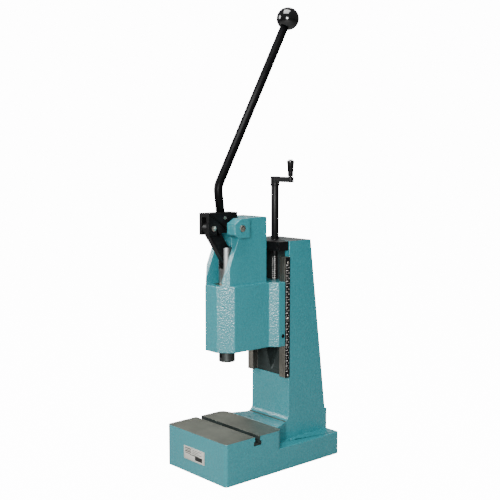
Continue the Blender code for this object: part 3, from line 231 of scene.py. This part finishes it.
def show(name, work, finishes, body, slot, *nodes):
    """Makes a piece of a finished bmesh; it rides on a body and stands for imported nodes."""
    mesh = bpy.data.meshes.new(name)
    work.to_mesh(mesh)
    work.free()
    for finish in finishes:
        mesh.materials.append(finish)
    piece = bpy.data.objects.new(name, mesh)
    bpy.context.scene.collection.objects.link(piece)
    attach(piece, body)
    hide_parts(*nodes)
    return piece


def mark_edges(work, weight_of, least=25):
    """Gives each corner edge the share of the rounding that weight_of(edge) asks for."""
    weights = work.edges.layers.float.new("bevel_weight_edge")
    for edge in work.edges:
        corner = len(edge.link_faces) == 2 and edge.calc_face_angle() > math.radians(least)
        edge[weights] = weight_of(edge) if corner else 0
        edge.smooth = not corner or edge[weights] > 0


def round_edges(piece, radius, segments=3):
    """Rounds the marked edges and keeps the flats between them flat to the light."""
    bevel = piece.modifiers.new("rounded_edges", "BEVEL")
    bevel.limit_method = "WEIGHT"
    bevel.width = radius
    bevel.segments = segments
    bevel.use_clamp_overlap = False
    normals = piece.modifiers.new("flat_faces", "WEIGHTED_NORMAL")
    normals.keep_sharp = True


openings = {space["name"]: space["box_m"] for space in frame["record"]["physics"]["openings"]}
ram_low, ram_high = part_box("ram")
ram_y = (ram_low.y + ram_high.y) / 2
table_z = openings["work_space"][0][2] - 0.5 * mm
head_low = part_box("head_casting")[0]
scale_low, scale_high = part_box("scale_strip")
rail_front_y = 28 * mm
column_front_y = 39 * mm
rail_z = (scale_low.z + 0.5 * mm, scale_high.z + 1.5 * mm)
dovetail_floor_y = 43 * mm
rail_inner_x = 36 * mm
dovetail_half = 42 * mm
groove_half, groove_floor_y = 17 * mm, 68 * mm
slot_half, slot_deep = 9.2 * mm, 17 * mm
foot_top_z = 43 * mm

work = merged_copy("frame_casting")
# the guide is milled on its outer sides too, down to where the column begins
bmesh.ops.bisect_plane(work, geom=work.verts[:] + work.edges[:] + work.faces[:],
                       plane_co=(0, column_front_y, 0), plane_no=(0, 1, 0), dist=1e-5)
for at in rail_z:
    side = [face for face in work.faces if abs(face.normal.x) > 0.99]
    reach = {edge for face in side for edge in face.edges}
    reach |= {vert for face in side for vert in face.verts}
    bmesh.ops.bisect_plane(work, geom=side + list(reach), plane_co=(0, 0, at), plane_no=(0, 0, 1),
                           dist=1e-5)
work.normal_update()


def frame_finish(face):
    """Which finish a face of the frame has: 0 enamel, 1 ground, 2 milled guide, 3 near-black iron
    painted as shade in the T-slot, the groove and the guide's recess.
    """
    x, y, z = face.calc_center_median()
    if face.normal.z > 0.9 and abs(z - table_z) < 0.3 * mm:
        return 1
    in_slot = abs(y - ram_y) < slot_half and table_z - slot_deep < z < table_z - 0.1 * mm
    if in_slot and abs(face.normal.x) < 0.5:
        return 3
    if face.normal.z < -0.9 and z < 1 * mm:
        return 1
    # finish 3 on the groove and on the guide's floor and top is painted shade, not a finish of their
    # own
    in_groove = column_front_y - 0.5 * mm < y < groove_floor_y and z > rail_z[0] - 2 * mm
    if abs(x) < groove_half and in_groove:
        return 3
    beside_rail = rail_z[0] - mm < z < rail_z[1] + mm and y < column_front_y + 0.2 * mm
    if abs(x) > rail_inner_x and beside_rail:
        return 2
    in_guide = z > rail_z[0] - mm and rail_front_y - mm < y < dovetail_floor_y + 0.2 * mm
    if abs(x) < dovetail_half and in_guide:
        return 3 if y > dovetail_floor_y - mm or z > rail_z[1] else 2
    return 0


for face in work.faces:
    face.material_index = frame_finish(face)


def frame_rounding(edge):
    """Cut edges are only eased, and so are the two ends of the taper from table to column."""
    middle_of = (edge.verts[0].co + edge.verts[1].co) / 2
    x, y, z = abs(middle_of.x), middle_of.y, middle_of.z
    if any(face.material_index for face in edge.link_faces):
        return 0.22
    taper_end = 50 * mm < x < 61 * mm and 14 * mm < y < 56 * mm and z < 92 * mm
    taper_start = x > 64 * mm and -23 * mm < y < 0 and abs(z - foot_top_z) < mm
    return 0.1 if taper_end or taper_start else 1


mark_edges(work, frame_rounding)
piece = show("press_frame", work, (enamel, ground_table, milled_guide, slot_shade_iron), "frame", "paint",
             "frame_casting")
round_edges(piece, 1.6 * mm)


# ---------------------------------------------------------------- scale
# Black anodised aluminium strip screwed to the guide.  Its divisions are filled in white:
# one line a millimetre, longer ones at 5 and 10, and a figure for each centimetre.
def painted_metal(name, colour, roughness, coat=0.0, metallic=0.0, texture=1.2, depth=0.02,
                  spread=0.06, shine=0.5):
    """A thin dark finish over metal, a little uneven in gloss and very slightly in tone."""
    material, tree, shader = new_finish(name, {"Metallic": metallic, "Coat Weight": coat,
                                               "Coat Roughness": 0.15, "Specular IOR Level": shine})
    place = add(tree, "ShaderNodeTexCoord").outputs["Object"]
    grain = add(tree, "ShaderNodeTexNoise", {"Vector": place, "Scale": 1 / (texture * mm),
                                             "Detail": 3.0})
    cloud = add(tree, "ShaderNodeTexNoise", {"Vector": place, "Scale": 1 / (18 * mm), "Detail": 2.0})
    light = tuple(min(1, channel * 1.6 + 0.004) for channel in linear(colour)[:3])
    tone = add(tree, "ShaderNodeMix", {"Factor": cloud.outputs["Fac"], "A": linear(colour),
                                       "B": (*light, 1)}, data_type="RGBA")
    tree.links.new(tone.outputs["Result"], shader.inputs["Base Color"])
    gloss = add(tree, "ShaderNodeMapRange", {"Value": grain.outputs["Fac"], "From Min": 0.3,
                                             "From Max": 0.7, "To Min": roughness - spread,
                                             "To Max": roughness + spread})
    tree.links.new(gloss.outputs[0], shader.inputs["Roughness"])
    bump = add(tree, "ShaderNodeBump", {"Height": grain.outputs["Fac"], "Strength": 0.3,
                                        "Distance": depth * mm})
    tree.links.new(bump.outputs["Normal"], shader.inputs["Normal"])
    return material


def add_block(work, low, high):
    """Adds a box between two corners; gives back its vertices."""
    block = bmesh.ops.create_cube(work, size=1)
    low, high = Vector(low), Vector(high)
    bmesh.ops.scale(work, vec=high - low, verts=block["verts"])
    bmesh.ops.translate(work, vec=(low + high) / 2, verts=block["verts"])
    return block["verts"]


anodised = painted_metal("black_anodised", "#08080a", 0.42, shine=0.3)
filling = painted_metal("white_filling", "#c9c7c2", 0.6)
zero_z = scale_low.z + 13 * mm
inlay = 0.06 * mm

work = bmesh.new()
add_block(work, scale_low, scale_high)
bmesh.ops.bevel(work, geom=work.edges, offset=0.25 * mm, offset_type="OFFSET", segments=2, profile=0.5,
                affect="EDGES", material=-1)
show("scale_plate", work, (anodised,), "frame", "blacked", "scale_strip")

work = bmesh.new()
last = int((scale_high.z - 12 * mm - zero_z) / mm)
for division in range(last + 1):
    if division % 10 == 0:
        length, width = 5.0, 0.9
    elif division % 5 == 0:
        length, width = 3.4, 0.16
    else:
        length, width = 2.2, 0.1
    at = zero_z + division * mm
    start = scale_low.y + 0.7 * mm
    add_block(work, (scale_high.x - inlay, start, at - width * mm / 2),
              (scale_high.x + inlay, start + length * mm, at + width * mm / 2))
for figure in range(0, last // 10):
    words = bpy.data.curves.new("figure", "FONT")
    words.body = str(figure + 1)
    words.size = 3.0 * mm
    words.space_character = 0.9
    words.extrude = inlay
    words.resolution_u = 2
    words.align_x = "CENTER"
    words.align_y = "CENTER"
    holder = bpy.data.objects.new("figure", words)
    shape = holder.to_mesh().copy()
    place = (scale_high.x, scale_low.y + 7.6 * mm, zero_z + (figure * 10 + 5) * mm)
    face_right = Matrix(((0, 0, 1), (1, 0, 0), (0, 1, 0))).to_4x4()
    shape.transform(Matrix.Translation(place) @ face_right)
    work.from_mesh(shape)
    bpy.data.objects.remove(holder)
    bpy.data.curves.remove(words)
    bpy.data.meshes.remove(shape)
bmesh.ops.remove_doubles(work, verts=work.verts, dist=1e-7)
show("scale_divisions", work, (filling,), "frame", "silver")


# ---------------------------------------------------------------- screws
# Socket and slotted screws, turned from bar and blacked or zinc plated.  Each is made along
# +Z with its head's face at the origin and is then laid on its own axis.
def turn(work, outline, steps=48):
    """Spins an outline of (radius, height) points, from the axis back to the axis, round Z."""
    verts = [work.verts.new((radius, 0, height)) for radius, height in outline]
    edges = [work.edges.new(pair) for pair in zip(verts, verts[1:])]
    bmesh.ops.spin(work, geom=verts + edges, cent=(0, 0, 0), axis=(0, 0, 1), angle=2 * math.pi,
                   steps=steps, use_merge=True)
    bmesh.ops.remove_doubles(work, verts=work.verts, dist=1e-6)
    bmesh.ops.recalc_face_normals(work, faces=work.faces)
    return work


def ease(work, radius, least=28, segments=2):
    """Breaks every corner sharper than least degrees with a small round and smooths the rest."""
    work.normal_update()
    corners = [edge for edge in work.edges
               if len(edge.link_faces) == 2 and edge.calc_face_angle() > math.radians(least)]
    if corners:
        bmesh.ops.bevel(work, geom=corners, offset=radius, offset_type="OFFSET", segments=segments,
                        profile=0.5, affect="EDGES", material=-1)
    work.normal_update()
    for face in work.faces:
        face.smooth = True
    for edge in work.edges:
        edge.smooth = len(edge.link_faces) != 2 or edge.calc_face_angle() < math.radians(40)
    return work


def lay(work, axis, centre):
    """Turns a piece made along +Z to point along an axis and moves it to its centre."""
    turn_by = Vector((0, 0, 1)).rotation_difference(Vector(axis)).to_matrix().to_4x4()
    bmesh.ops.transform(work, matrix=Matrix.Translation(centre) @ turn_by, verts=work.verts)
    return work


def centre_of(node):
    low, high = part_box(node)
    return (low + high) / 2


def socket_screw(radius, length, across, depth):
    """A headless or cheese-headed socket screw: a round bar with a hexagon sunk in its face."""
    work = bmesh.new()
    bmesh.ops.create_circle(work, radius=radius, segments=36)
    rim_edges = work.edges[:]
    down = bmesh.ops.extrude_edge_only(work, edges=rim_edges)
    low = [item for item in down["geom"] if isinstance(item, bmesh.types.BMVert)]
    bmesh.ops.translate(work, vec=(0, 0, -length), verts=low)
    bmesh.ops.contextual_create(work, geom=low)
    hexagon = bmesh.ops.create_circle(work, radius=across / math.sqrt(3), segments=6)["verts"]
    hex_edges = [edge for edge in work.edges if all(vert in hexagon for vert in edge.verts)]
    bmesh.ops.bridge_loops(work, edges=rim_edges + hex_edges)
    down = bmesh.ops.extrude_edge_only(work, edges=hex_edges)
    low = [item for item in down["geom"] if isinstance(item, bmesh.types.BMVert)]
    bmesh.ops.translate(work, vec=(0, 0, -depth), verts=low)
    bmesh.ops.contextual_create(work, geom=low)
    bmesh.ops.recalc_face_normals(work, faces=work.faces)
    return work


black_oxide = painted_metal("black_oxide_steel", "#050506", 0.42, shine=0.22)
zinc = cut_metal("zinc_plated_steel", "#e6e2d6", "#c8c4b8", (1.5, 1.5, 1.5), 0.3)
ground_steel = cut_metal("ground_steel", "#a3a6a5", "#8b8e8d", (8, 8, 0.5), 0.34)
# a darker copy of the ground steel: painted shade for the ram's nose under the head
shaded_nose_steel = cut_metal("ground_steel_shaded_nose", "#5b5f5e", "#484b4a", (8, 8, 0.5), 0.4)

for name, body, axis, finish, slot, across in (
        ("plate_screw_left", "frame", (0, -1, 0), black_oxide, "blacked", 3.0),
        ("plate_screw_right", "frame", (0, -1, 0), black_oxide, "blacked", 3.0),
        ("gib_screw", "head", (0, 0, 1), black_oxide, "blacked", 4.0),
        ("nut_screw_left", "head", (0, 0, 1), black_oxide, "blacked", 1.7),
        ("nut_screw_right", "head", (0, 0, 1), black_oxide, "blacked", 1.7),
        ("clamp_screw", "head", (1, 0, 0), black_oxide, "blacked", 3.4),
        ("pin_lock_screw", "head", (0, 0, 1), black_oxide, "blacked", 2.5),
        ("ram_key_screw", "head", (-1, 0, 0), black_oxide, "blacked", 3.0),
        ("lever_set_screw", "lever", (1, 0, 0), zinc, "bright", 2.8),
        ("tool_screw", "ram", (0, -1, 0), black_oxide, "blacked", 3.0)):
    low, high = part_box(name)
    axis = Vector(axis)
    sizes = [size for size, part in zip(high - low, axis) if not part]
    radius = max(sizes) / 2
    length = abs((high - low).dot(axis))
    face = centre_of(name) + axis * (length / 2)
    socket_depth = min(0.5 * length, 1.1 * across * mm)
    work = ease(socket_screw(radius, length, across * mm, socket_depth), 0.2 * mm)
    show(name + "_socket", lay(work, axis, face), (finish,), body, slot, name)

for number in (1, 2, 3):
    low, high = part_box(f"scale_screw_{number}")
    radius = (high.z - low.z) / 2
    length = high.x - low.x
    work = turn(bmesh.new(), [(0, 0), (radius * 0.35, -0.05 * mm), (radius * 0.7, -0.25 * mm),
                              (radius * 0.93, -0.6 * mm), (radius, -1.0 * mm), (radius, -1.2 * mm),
                              (1.5 * mm, -1.2 * mm), (1.5 * mm, -length), (0, -length)], 32)
    ease(work, 0.1 * mm, least=60)
    face = Vector((high.x, (low.y + high.y) / 2, (low.z + high.z) / 2))
    show(f"scale_screw_{number}_dome", lay(work, (1, 0, 0), face), (zinc,), "frame", "bright",
         f"scale_screw_{number}")


# ---------------------------------------------------------------- nameplate
# Thin silver-anodised plate stuck to the front of the base.  Its fields are left blank: a
# border, three ruled lines and one black panel, with no words on it.
silver_plate = cut_metal("silver_anodised", "#dedcd4", "#cbc9c0", (30, 30, 0.6), 0.45, metallic=0.3)
plate_ink = painted_metal("black_plate_ink", "#101010", 0.5)
low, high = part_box("nameplate")
work = bmesh.new()
add_block(work, low, high)
uprights = [edge for edge in work.edges if abs((edge.verts[0].co - edge.verts[1].co).y) > 0.3 * mm]
bmesh.ops.bevel(work, geom=uprights, offset=1.2 * mm, offset_type="OFFSET", segments=5, profile=0.5,
                affect="EDGES", material=-1)
ease(work, 0.15 * mm, least=50)
show("blank_nameplate", work, (silver_plate,), "frame", "silver", "nameplate")

work = bmesh.new()
ink_y = (low.y - 0.04 * mm, low.y + 0.05 * mm)


def ink(left, bottom, right, top):
    """One printed patch, placed by its corners from the plate's lower left corner, in mm."""
    add_block(work, (low.x + left * mm, ink_y[0], low.z + bottom * mm),
              (low.x + right * mm, ink_y[1], low.z + top * mm))


plate_wide, plate_high = (high.x - low.x) / mm, (high.z - low.z) / mm
for bottom, top in ((1.0, 1.3), (plate_high - 1.3, plate_high - 1.0)):
    ink(1.0, bottom, plate_wide - 1.0, top)
for left, right in ((1.0, 1.3), (plate_wide - 1.3, plate_wide - 1.0)):
    ink(left, 1.3, right, plate_high - 1.3)
for row in range(4):
    across = plate_high - 4.4 - 2.9 * row
    ink(4, across, 22, across + (1.7 if row in (0, 2) else 1.1))
    ink(25, across, 52 - 8 * (row % 2), across + 0.8)
ink(19, 10.2, 54, 11.0)
ink(33, 3.2, 54, 10.2)
show("nameplate_print", work, (plate_ink,), "frame", "blacked")


# ---------------------------------------------------------------- head casting
# Grey iron slide, enamelled outside and scraped behind where it rides on the guide.  The
# yoke on top carries the lever's pivot between two square lugs.
head_back_y = 27.6 * mm
bored_iron = cut_metal("bored_cast_iron", "#8b8982", "#6f6d68", (0.9, 0.9, 0.6), 0.4)
screw_y = centre_of("lead_screw").y
bores = (((0, ram_y), 23.5 * mm), ((0, screw_y), 14.6 * mm))
yoke_base_z = head_low.z + 0.121

work = merged_copy("head_casting")


def head_finish(face):
    """Which finish a face of the head has: 0 enamel, 1 scraped slideway, 2 bored."""
    x, y, z = face.calc_center_median()
    if y > head_back_y - 0.3 * mm and not (abs(x) < 16 * mm and y > dovetail_floor_y):
        return 1
    for (centre_x, centre_y), radius in bores:
        near = math.hypot(x - centre_x, y - centre_y) < radius
        if near and abs(face.normal.z) < 0.5 and z < yoke_base_z:
            return 2
    return 0


for face in work.faces:
    face.material_index = head_finish(face)


def head_rounding(edge):
    """Cast corners get the full radius, small holes and cut faces only an eased edge."""
    middle_of = (edge.verts[0].co + edge.verts[1].co) / 2
    if any(face.material_index for face in edge.link_faces) or edge.calc_length() < 1.6 * mm:
        return 0.18
    return 0.35 if middle_of.y > head_back_y - mm else 1


mark_edges(work, head_rounding)
piece = show("press_head", work, (enamel, milled_guide, bored_iron), "head", "paint", "head_casting")
round_edges(piece, 1.2 * mm)


# ---------------------------------------------------------------- bearing plate and crank
# Blacked steel plate across the guide's top; the lead screw turns in it, held by a thrust
# collar below and the crank's tube above, both pinned on.
work = merged_copy("bearing_plate")
mark_edges(work, lambda edge: 1)
piece = show("screw_bearing_plate", work, (black_oxide,), "frame", "blacked", "bearing_plate")
round_edges(piece, 0.5 * mm, 2)

# rolled thread, 4 mm to the turn, shallow enough that the bar still looks straight
screw_low, screw_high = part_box("lead_screw")
screw_radius = (screw_high.x - screw_low.x) / 2
pitch = 4 * mm
thread_depth = 0.5 * mm
collar_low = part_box("thrust_collar")[0]
thread_top = collar_low.z - 2 * mm
thread_steel = cut_metal("rolled_thread_steel", "#7f7e7c", "#656462", (3, 3, 0.6), 0.38)
rise = 0.5 * mm
rows = int((thread_top - screw_low.z) / rise)
outline = [(0, screw_low.z)] + [(screw_radius, screw_low.z + rise * row) for row in range(rows + 1)]
outline += [(screw_radius, collar_low.z - 0.6 * mm), (screw_radius - 1 * mm, collar_low.z - 0.5 * mm),
            (screw_radius - 1 * mm, screw_high.z), (0, screw_high.z)]
work = turn(bmesh.new(), outline, 40)
for vert in work.verts:
    reach = math.hypot(vert.co.x, vert.co.y)
    if reach > screw_radius - 0.1 * mm and vert.co.z < thread_top - mm:
        turns = (vert.co.z - screw_low.z) / pitch - math.atan2(vert.co.y, vert.co.x) / (2 * math.pi)
        wave = math.cos(2 * math.pi * turns)
        cut_in = thread_depth * (0.5 - 0.5 * max(-1, min(1, 1.8 * wave)))
        vert.co.x *= 1 - cut_in / reach
        vert.co.y *= 1 - cut_in / reach
for face in work.faces:
    face.smooth = True
work.normal_update()
for edge in work.edges:
    edge.smooth = edge.calc_face_angle(0) < math.radians(60)
show("lead_screw_bar", lay(work, (0, 0, 1), (0, screw_y, 0)), (thread_steel,), "crank", "machined",
     "lead_screw")


def bush(node, eased, steps=48):
    """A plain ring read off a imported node: outer size from its box, bore from its nearest wall."""
    low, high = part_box(node)
    across = list(high - low)
    middling = sorted(across)[1]
    long_axis = max(range(3), key=lambda i: abs(across[i] - middling))
    centre = (low + high) / 2
    others = [i for i in range(3) if i != long_axis]
    bore = min(math.hypot(*(vert.co[i] - centre[i] for i in others))
               for vert in frame["nodes"][node].data.vertices)
    outer = across[others[0]] / 2
    half = across[long_axis] / 2
    work = bmesh.new()
    corners = [(bore, -half), (outer, -half), (outer, half), (bore, half)]
    verts = [work.verts.new((radius, 0, height)) for radius, height in corners]
    edges = [work.edges.new((verts[i], verts[(i + 1) % 4])) for i in range(4)]
    bmesh.ops.spin(work, geom=verts + edges, cent=(0, 0, 0), axis=(0, 0, 1), angle=2 * math.pi,
                   steps=steps, use_merge=True)
    bmesh.ops.recalc_face_normals(work, faces=work.faces)
    ease(work, eased)
    axis = [0, 0, 0]
    axis[long_axis] = 1
    return lay(work, axis, centre)


show("thrust_collar_ring", bush("thrust_collar", 0.6 * mm), (black_oxide,), "crank", "blacked",
     "thrust_collar")
show("crank_tube_bar", bush("crank_tube", 0.3 * mm), (black_oxide,), "crank", "blacked", "crank_tube")


work = merged_copy("crank_arm")
mark_edges(work, lambda edge: 0.35 if edge.calc_length() < 1.2 * mm else 1)
piece = show("crank_handle_arm", work, (black_oxide,), "crank", "blacked", "crank_arm")
round_edges(piece, 0.9 * mm)


def plain_pin(node, axis, finish, body, slot, eased, steps=40, centre_drill=0.0):
    """A turned pin with broken ends and, if asked for, a shallow centre drilled in each."""
    low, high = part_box(node)
    long_axis = max(range(3), key=lambda i: abs(Vector(axis)[i]))
    radius = min((high - low)[i] for i in range(3) if i != long_axis) / 2
    half = (high - low)[long_axis] / 2
    dent = [centre_drill] if centre_drill else []
    outline = [(0, half - centre_drill)] + [(rim, half) for rim in dent]
    outline += [(radius, half), (radius, -half)]
    outline += [(rim, -half) for rim in dent] + [(0, -half + centre_drill)]
    work = ease(turn(bmesh.new(), outline, steps), eased, least=60)
    show(node + "_turned", lay(work, axis, (low + high) / 2), (finish,), body, slot, node)


plain_pin("tube_pin", (1, 0, 0), zinc, "crank", "machined", 0.3 * mm, 24)
plain_pin("crank_pin", (1, 0, 0), zinc, "crank", "machined", 0.3 * mm, 24)


# ---------------------------------------------------------------- crank grip
# Small moulded phenolic knob, polished, free to spin on a steel stud riveted through the arm.
phenolic = painted_metal("polished_phenolic", "#060607", 0.08, 0.6, texture=6, depth=0.004, spread=0.02)
low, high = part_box("crank_grip")
grip_half = (high.x - low.x) / 2
grip_axis = Vector(((low.x + high.x) / 2, (low.y + high.y) / 2, low.z))
grip_bore = min((vert.co - grip_axis).xy.length for vert in frame["nodes"]["crank_grip"].data.vertices)
tall = high.z - low.z
# half width and height up the swell, as shares of the widest and of the whole
swell = ((0.62, 0), (0.70, 0.02), (0.72, 0.08), (0.74, 0.25), (0.80, 0.50), (0.90, 0.75),
         (0.97, 0.86), (1.00, 0.92), (0.96, 0.97), (0.84, 1))
outline = [(grip_bore, 0)] + [(wide * grip_half, up * tall) for wide, up in swell] + [(grip_bore, tall)]
work = bmesh.new()
verts = [work.verts.new((radius, 0, height)) for radius, height in outline]
edges = [work.edges.new((verts[i], verts[(i + 1) % len(verts)])) for i in range(len(verts))]
bmesh.ops.spin(work, geom=verts + edges, cent=(0, 0, 0), axis=(0, 0, 1), angle=2 * math.pi, steps=64,
               use_merge=True)
bmesh.ops.recalc_face_normals(work, faces=work.faces)
ease(work, 0.2 * mm, least=60)
show("crank_grip_knob", lay(work, (0, 0, 1), grip_axis), (phenolic,), "grip", "phenolic", "crank_grip")

low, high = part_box("grip_stud")
stud_head = (high.x - low.x) / 2
stud_half = 2.5 * mm
tall = high.z - low.z
work = turn(bmesh.new(), [(0, tall), (0.7 * stud_head, tall - 0.1 * mm), (stud_head, tall - 0.9 * mm),
                          (stud_head, tall - 1.6 * mm), (stud_half, tall - 1.6 * mm),
                          (stud_half, 0), (0, 0)], 40)
ease(work, 0.12 * mm, least=50)
stud_foot = ((low.x + high.x) / 2, (low.y + high.y) / 2, low.z)
show("grip_stud_rivet", lay(work, (0, 0, 1), stud_foot), (black_oxide,), "crank", "blacked",
     "grip_stud")


# ---------------------------------------------------------------- lever hub
# Blacked steel block, forked at the front for the toggle link and bushed for the pivot pin.
# Its corners are only broken, as sawn and milled bar is.
work = merged_copy("lever_hub")
mark_edges(work, lambda edge: 0.5 if edge.calc_length() < 1.2 * mm else 1)
piece = show("lever_hub_block", work, (black_oxide,), "lever", "blacked", "lever_hub")
round_edges(piece, 0.7 * mm)

bronze = cut_metal("turned_bronze", "#b98a4e", "#94693a", (1.2, 1.2, 1.2), 0.3)
for side in ("left", "right"):
    show(f"hub_bush_{side}_ring", bush(f"hub_bush_{side}", 0.25 * mm), (bronze,), "lever", "bronze",
         f"hub_bush_{side}")
plain_pin("link_pin", (1, 0, 0), zinc, "lever", "blacked", 0.5 * mm, 48, centre_drill=0.7 * mm)


# ---------------------------------------------------------------- lever
# Round bar bent above the hub and blacked, with a polished phenolic ball on its end.
rod_low, rod_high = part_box("lever_rod")
ball_low, ball_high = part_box("ball_knob")
bar_radius = (rod_high.x - rod_low.x) / 2
ball_radius = (ball_high.x - ball_low.x) / 2
ball_centre = Vector((0, ball_high.y - ball_radius, ball_high.z - ball_radius))
foot_point = Vector((0, ram_y - 14.7 * mm, 474.5 * mm))
bend_point = Vector((0, ram_y - 20.3 * mm, 519.8 * mm))
foot_way = (bend_point - foot_point).normalized()
arm_way = (ball_centre - bend_point).normalized()
bend_radius = 30 * mm
bend_angle = foot_way.angle(arm_way)
set_back = bend_radius * math.tan(bend_angle / 2)
bend_start = bend_point - foot_way * set_back
bend_axis = foot_way.cross(arm_way).normalized()
bend_centre = bend_start + bend_axis.cross(foot_way) * bend_radius
sink = 15 * mm     # foot of the bar inside the hub
into_ball = 12 * mm
work = bmesh.new()
ring = bmesh.ops.create_circle(work, cap_ends=False, radius=bar_radius, segments=48)["verts"]
first = foot_point - foot_way * sink
face_on = Vector((0, 0, 1)).rotation_difference(foot_way).to_matrix().to_4x4()
bmesh.ops.transform(work, matrix=Matrix.Translation(first) @ face_on, verts=ring)
bmesh.ops.contextual_create(work, geom=ring)
rim = work.edges[:]
arm_length = ball_centre - arm_way * into_ball - (bend_point + arm_way * set_back)
for stretch in (bend_start - first, None, arm_length):
    if stretch is None:  # the bend between the two straights
        swept = bmesh.ops.spin(work, geom=rim, cent=bend_centre, axis=bend_axis, angle=bend_angle,
                               steps=14)
        rim = [item for item in swept["geom_last"] if isinstance(item, bmesh.types.BMEdge)]
        continue
    grown = bmesh.ops.extrude_edge_only(work, edges=rim)
    tips = [item for item in grown["geom"] if isinstance(item, bmesh.types.BMVert)]
    rim = [item for item in grown["geom"] if isinstance(item, bmesh.types.BMEdge)
           and all(vert in tips for vert in item.verts)]
    bmesh.ops.translate(work, vec=stretch, verts=tips)
bmesh.ops.contextual_create(work, geom=rim)
bmesh.ops.recalc_face_normals(work, faces=work.faces)
for face in work.faces:
    face.smooth = len(face.verts) == 4
lever_black = painted_metal("lever_black", "#020203", 0.38, texture=3, depth=0.01, spread=0.03,
                            shine=0.08)
show("lever_bar", work, (lever_black,), "lever", "blacked", "lever_rod")

work = bmesh.new()
bmesh.ops.create_uvsphere(work, u_segments=64, v_segments=32, radius=ball_radius)
flat_at = -math.sqrt(ball_radius ** 2 - (bar_radius + 2 * mm) ** 2)
opened = bmesh.ops.bisect_plane(work, geom=work.verts[:] + work.edges[:] + work.faces[:], dist=1e-6,
                                plane_co=(0, 0, flat_at), plane_no=(0, 0, 1), clear_inner=True)
rim = [item for item in opened["geom_cut"] if isinstance(item, bmesh.types.BMEdge)]
bmesh.ops.contextual_create(work, geom=rim)
bmesh.ops.recalc_face_normals(work, faces=work.faces)
for face in work.faces:
    face.smooth = True
for edge in rim:
    edge.smooth = False
show("lever_ball", lay(work, arm_way, ball_centre), (phenolic,), "lever", "phenolic", "ball_knob")


# ---------------------------------------------------------------- toggle link
# Flat steel link, blacked like the hub, with a bronze bush in its upper eye.
oiled_steel = cut_metal("oiled_steel", "#6f6d6b", "#4f4d4c", (0.7, 5, 5), 0.38)
work = merged_copy("toggle_link")
mark_edges(work, lambda edge: 1)
piece = show("toggle_link_plate", work, (black_oxide,), "link", "blacked", "toggle_link")
round_edges(piece, 0.6 * mm)
show("link_bush_ring", bush("link_bush", 0.2 * mm), (bronze,), "link", "bronze", "link_bush")


# ---------------------------------------------------------------- ram
# Ground round bar, slotted on top for the link and bored below for tools.  Its nose, which
# stands out below the head, takes a darker copy of the ground steel as painted shade from the head.
work = merged_copy("ram")
nose_z = head_low.z + 3 * mm
bmesh.ops.bisect_plane(work, geom=work.verts[:] + work.edges[:] + work.faces[:], dist=1e-6,
                       plane_co=(0, 0, nose_z), plane_no=(0, 0, 1))
# below nose_z the darker steel stands in as painted shade under the head
for face in work.faces:
    face.material_index = int(face.calc_center_median().z < nose_z)
mark_edges(work, lambda edge: 0.4 if edge.calc_length() < 2.5 * mm else 1, least=32)
piece = show("ram_bar", work, (ground_steel, shaded_nose_steel), "ram", "ground", "ram")
round_edges(piece, 0.4 * mm, 2)
plain_pin("ram_pin", (1, 0, 0), zinc, "ram", "bright", 0.4 * mm, 40)
show("spring_collar_ring", bush("spring_collar", 0.4 * mm), (oiled_steel,), "ram", "machined",
     "spring_collar")


# ---------------------------------------------------------------- pivot pin
# Zinc-plated pin through both lugs, centre-marked at its ends, with a spacer each side.
plain_pin("pivot_pin", (1, 0, 0), zinc, "head", "bright", 0.7 * mm, 48, centre_drill=0.8 * mm)
for side in ("left", "right"):
    show(f"pivot_spacer_{side}_ring", bush(f"pivot_spacer_{side}", 0.4 * mm), (oiled_steel,),
         "head", "machined", f"pivot_spacer_{side}")


# ---------------------------------------------------------------- pieces inside
# Bushes, spring, nut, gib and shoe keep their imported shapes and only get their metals.
spring_steel = cut_metal("spring_steel", "#6c6f75", "#4d5056", (2, 2, 2), 0.3)
for node, finish in (("lower_ram_bush", bronze), ("upper_ram_bush", bronze),
                     ("return_spring", spring_steel), ("lead_nut", bronze),
                     ("gib_strip", milled_guide), ("clamp_shoe", bronze)):
    for place in frame["nodes"][node].material_slots:
        place.material = finish
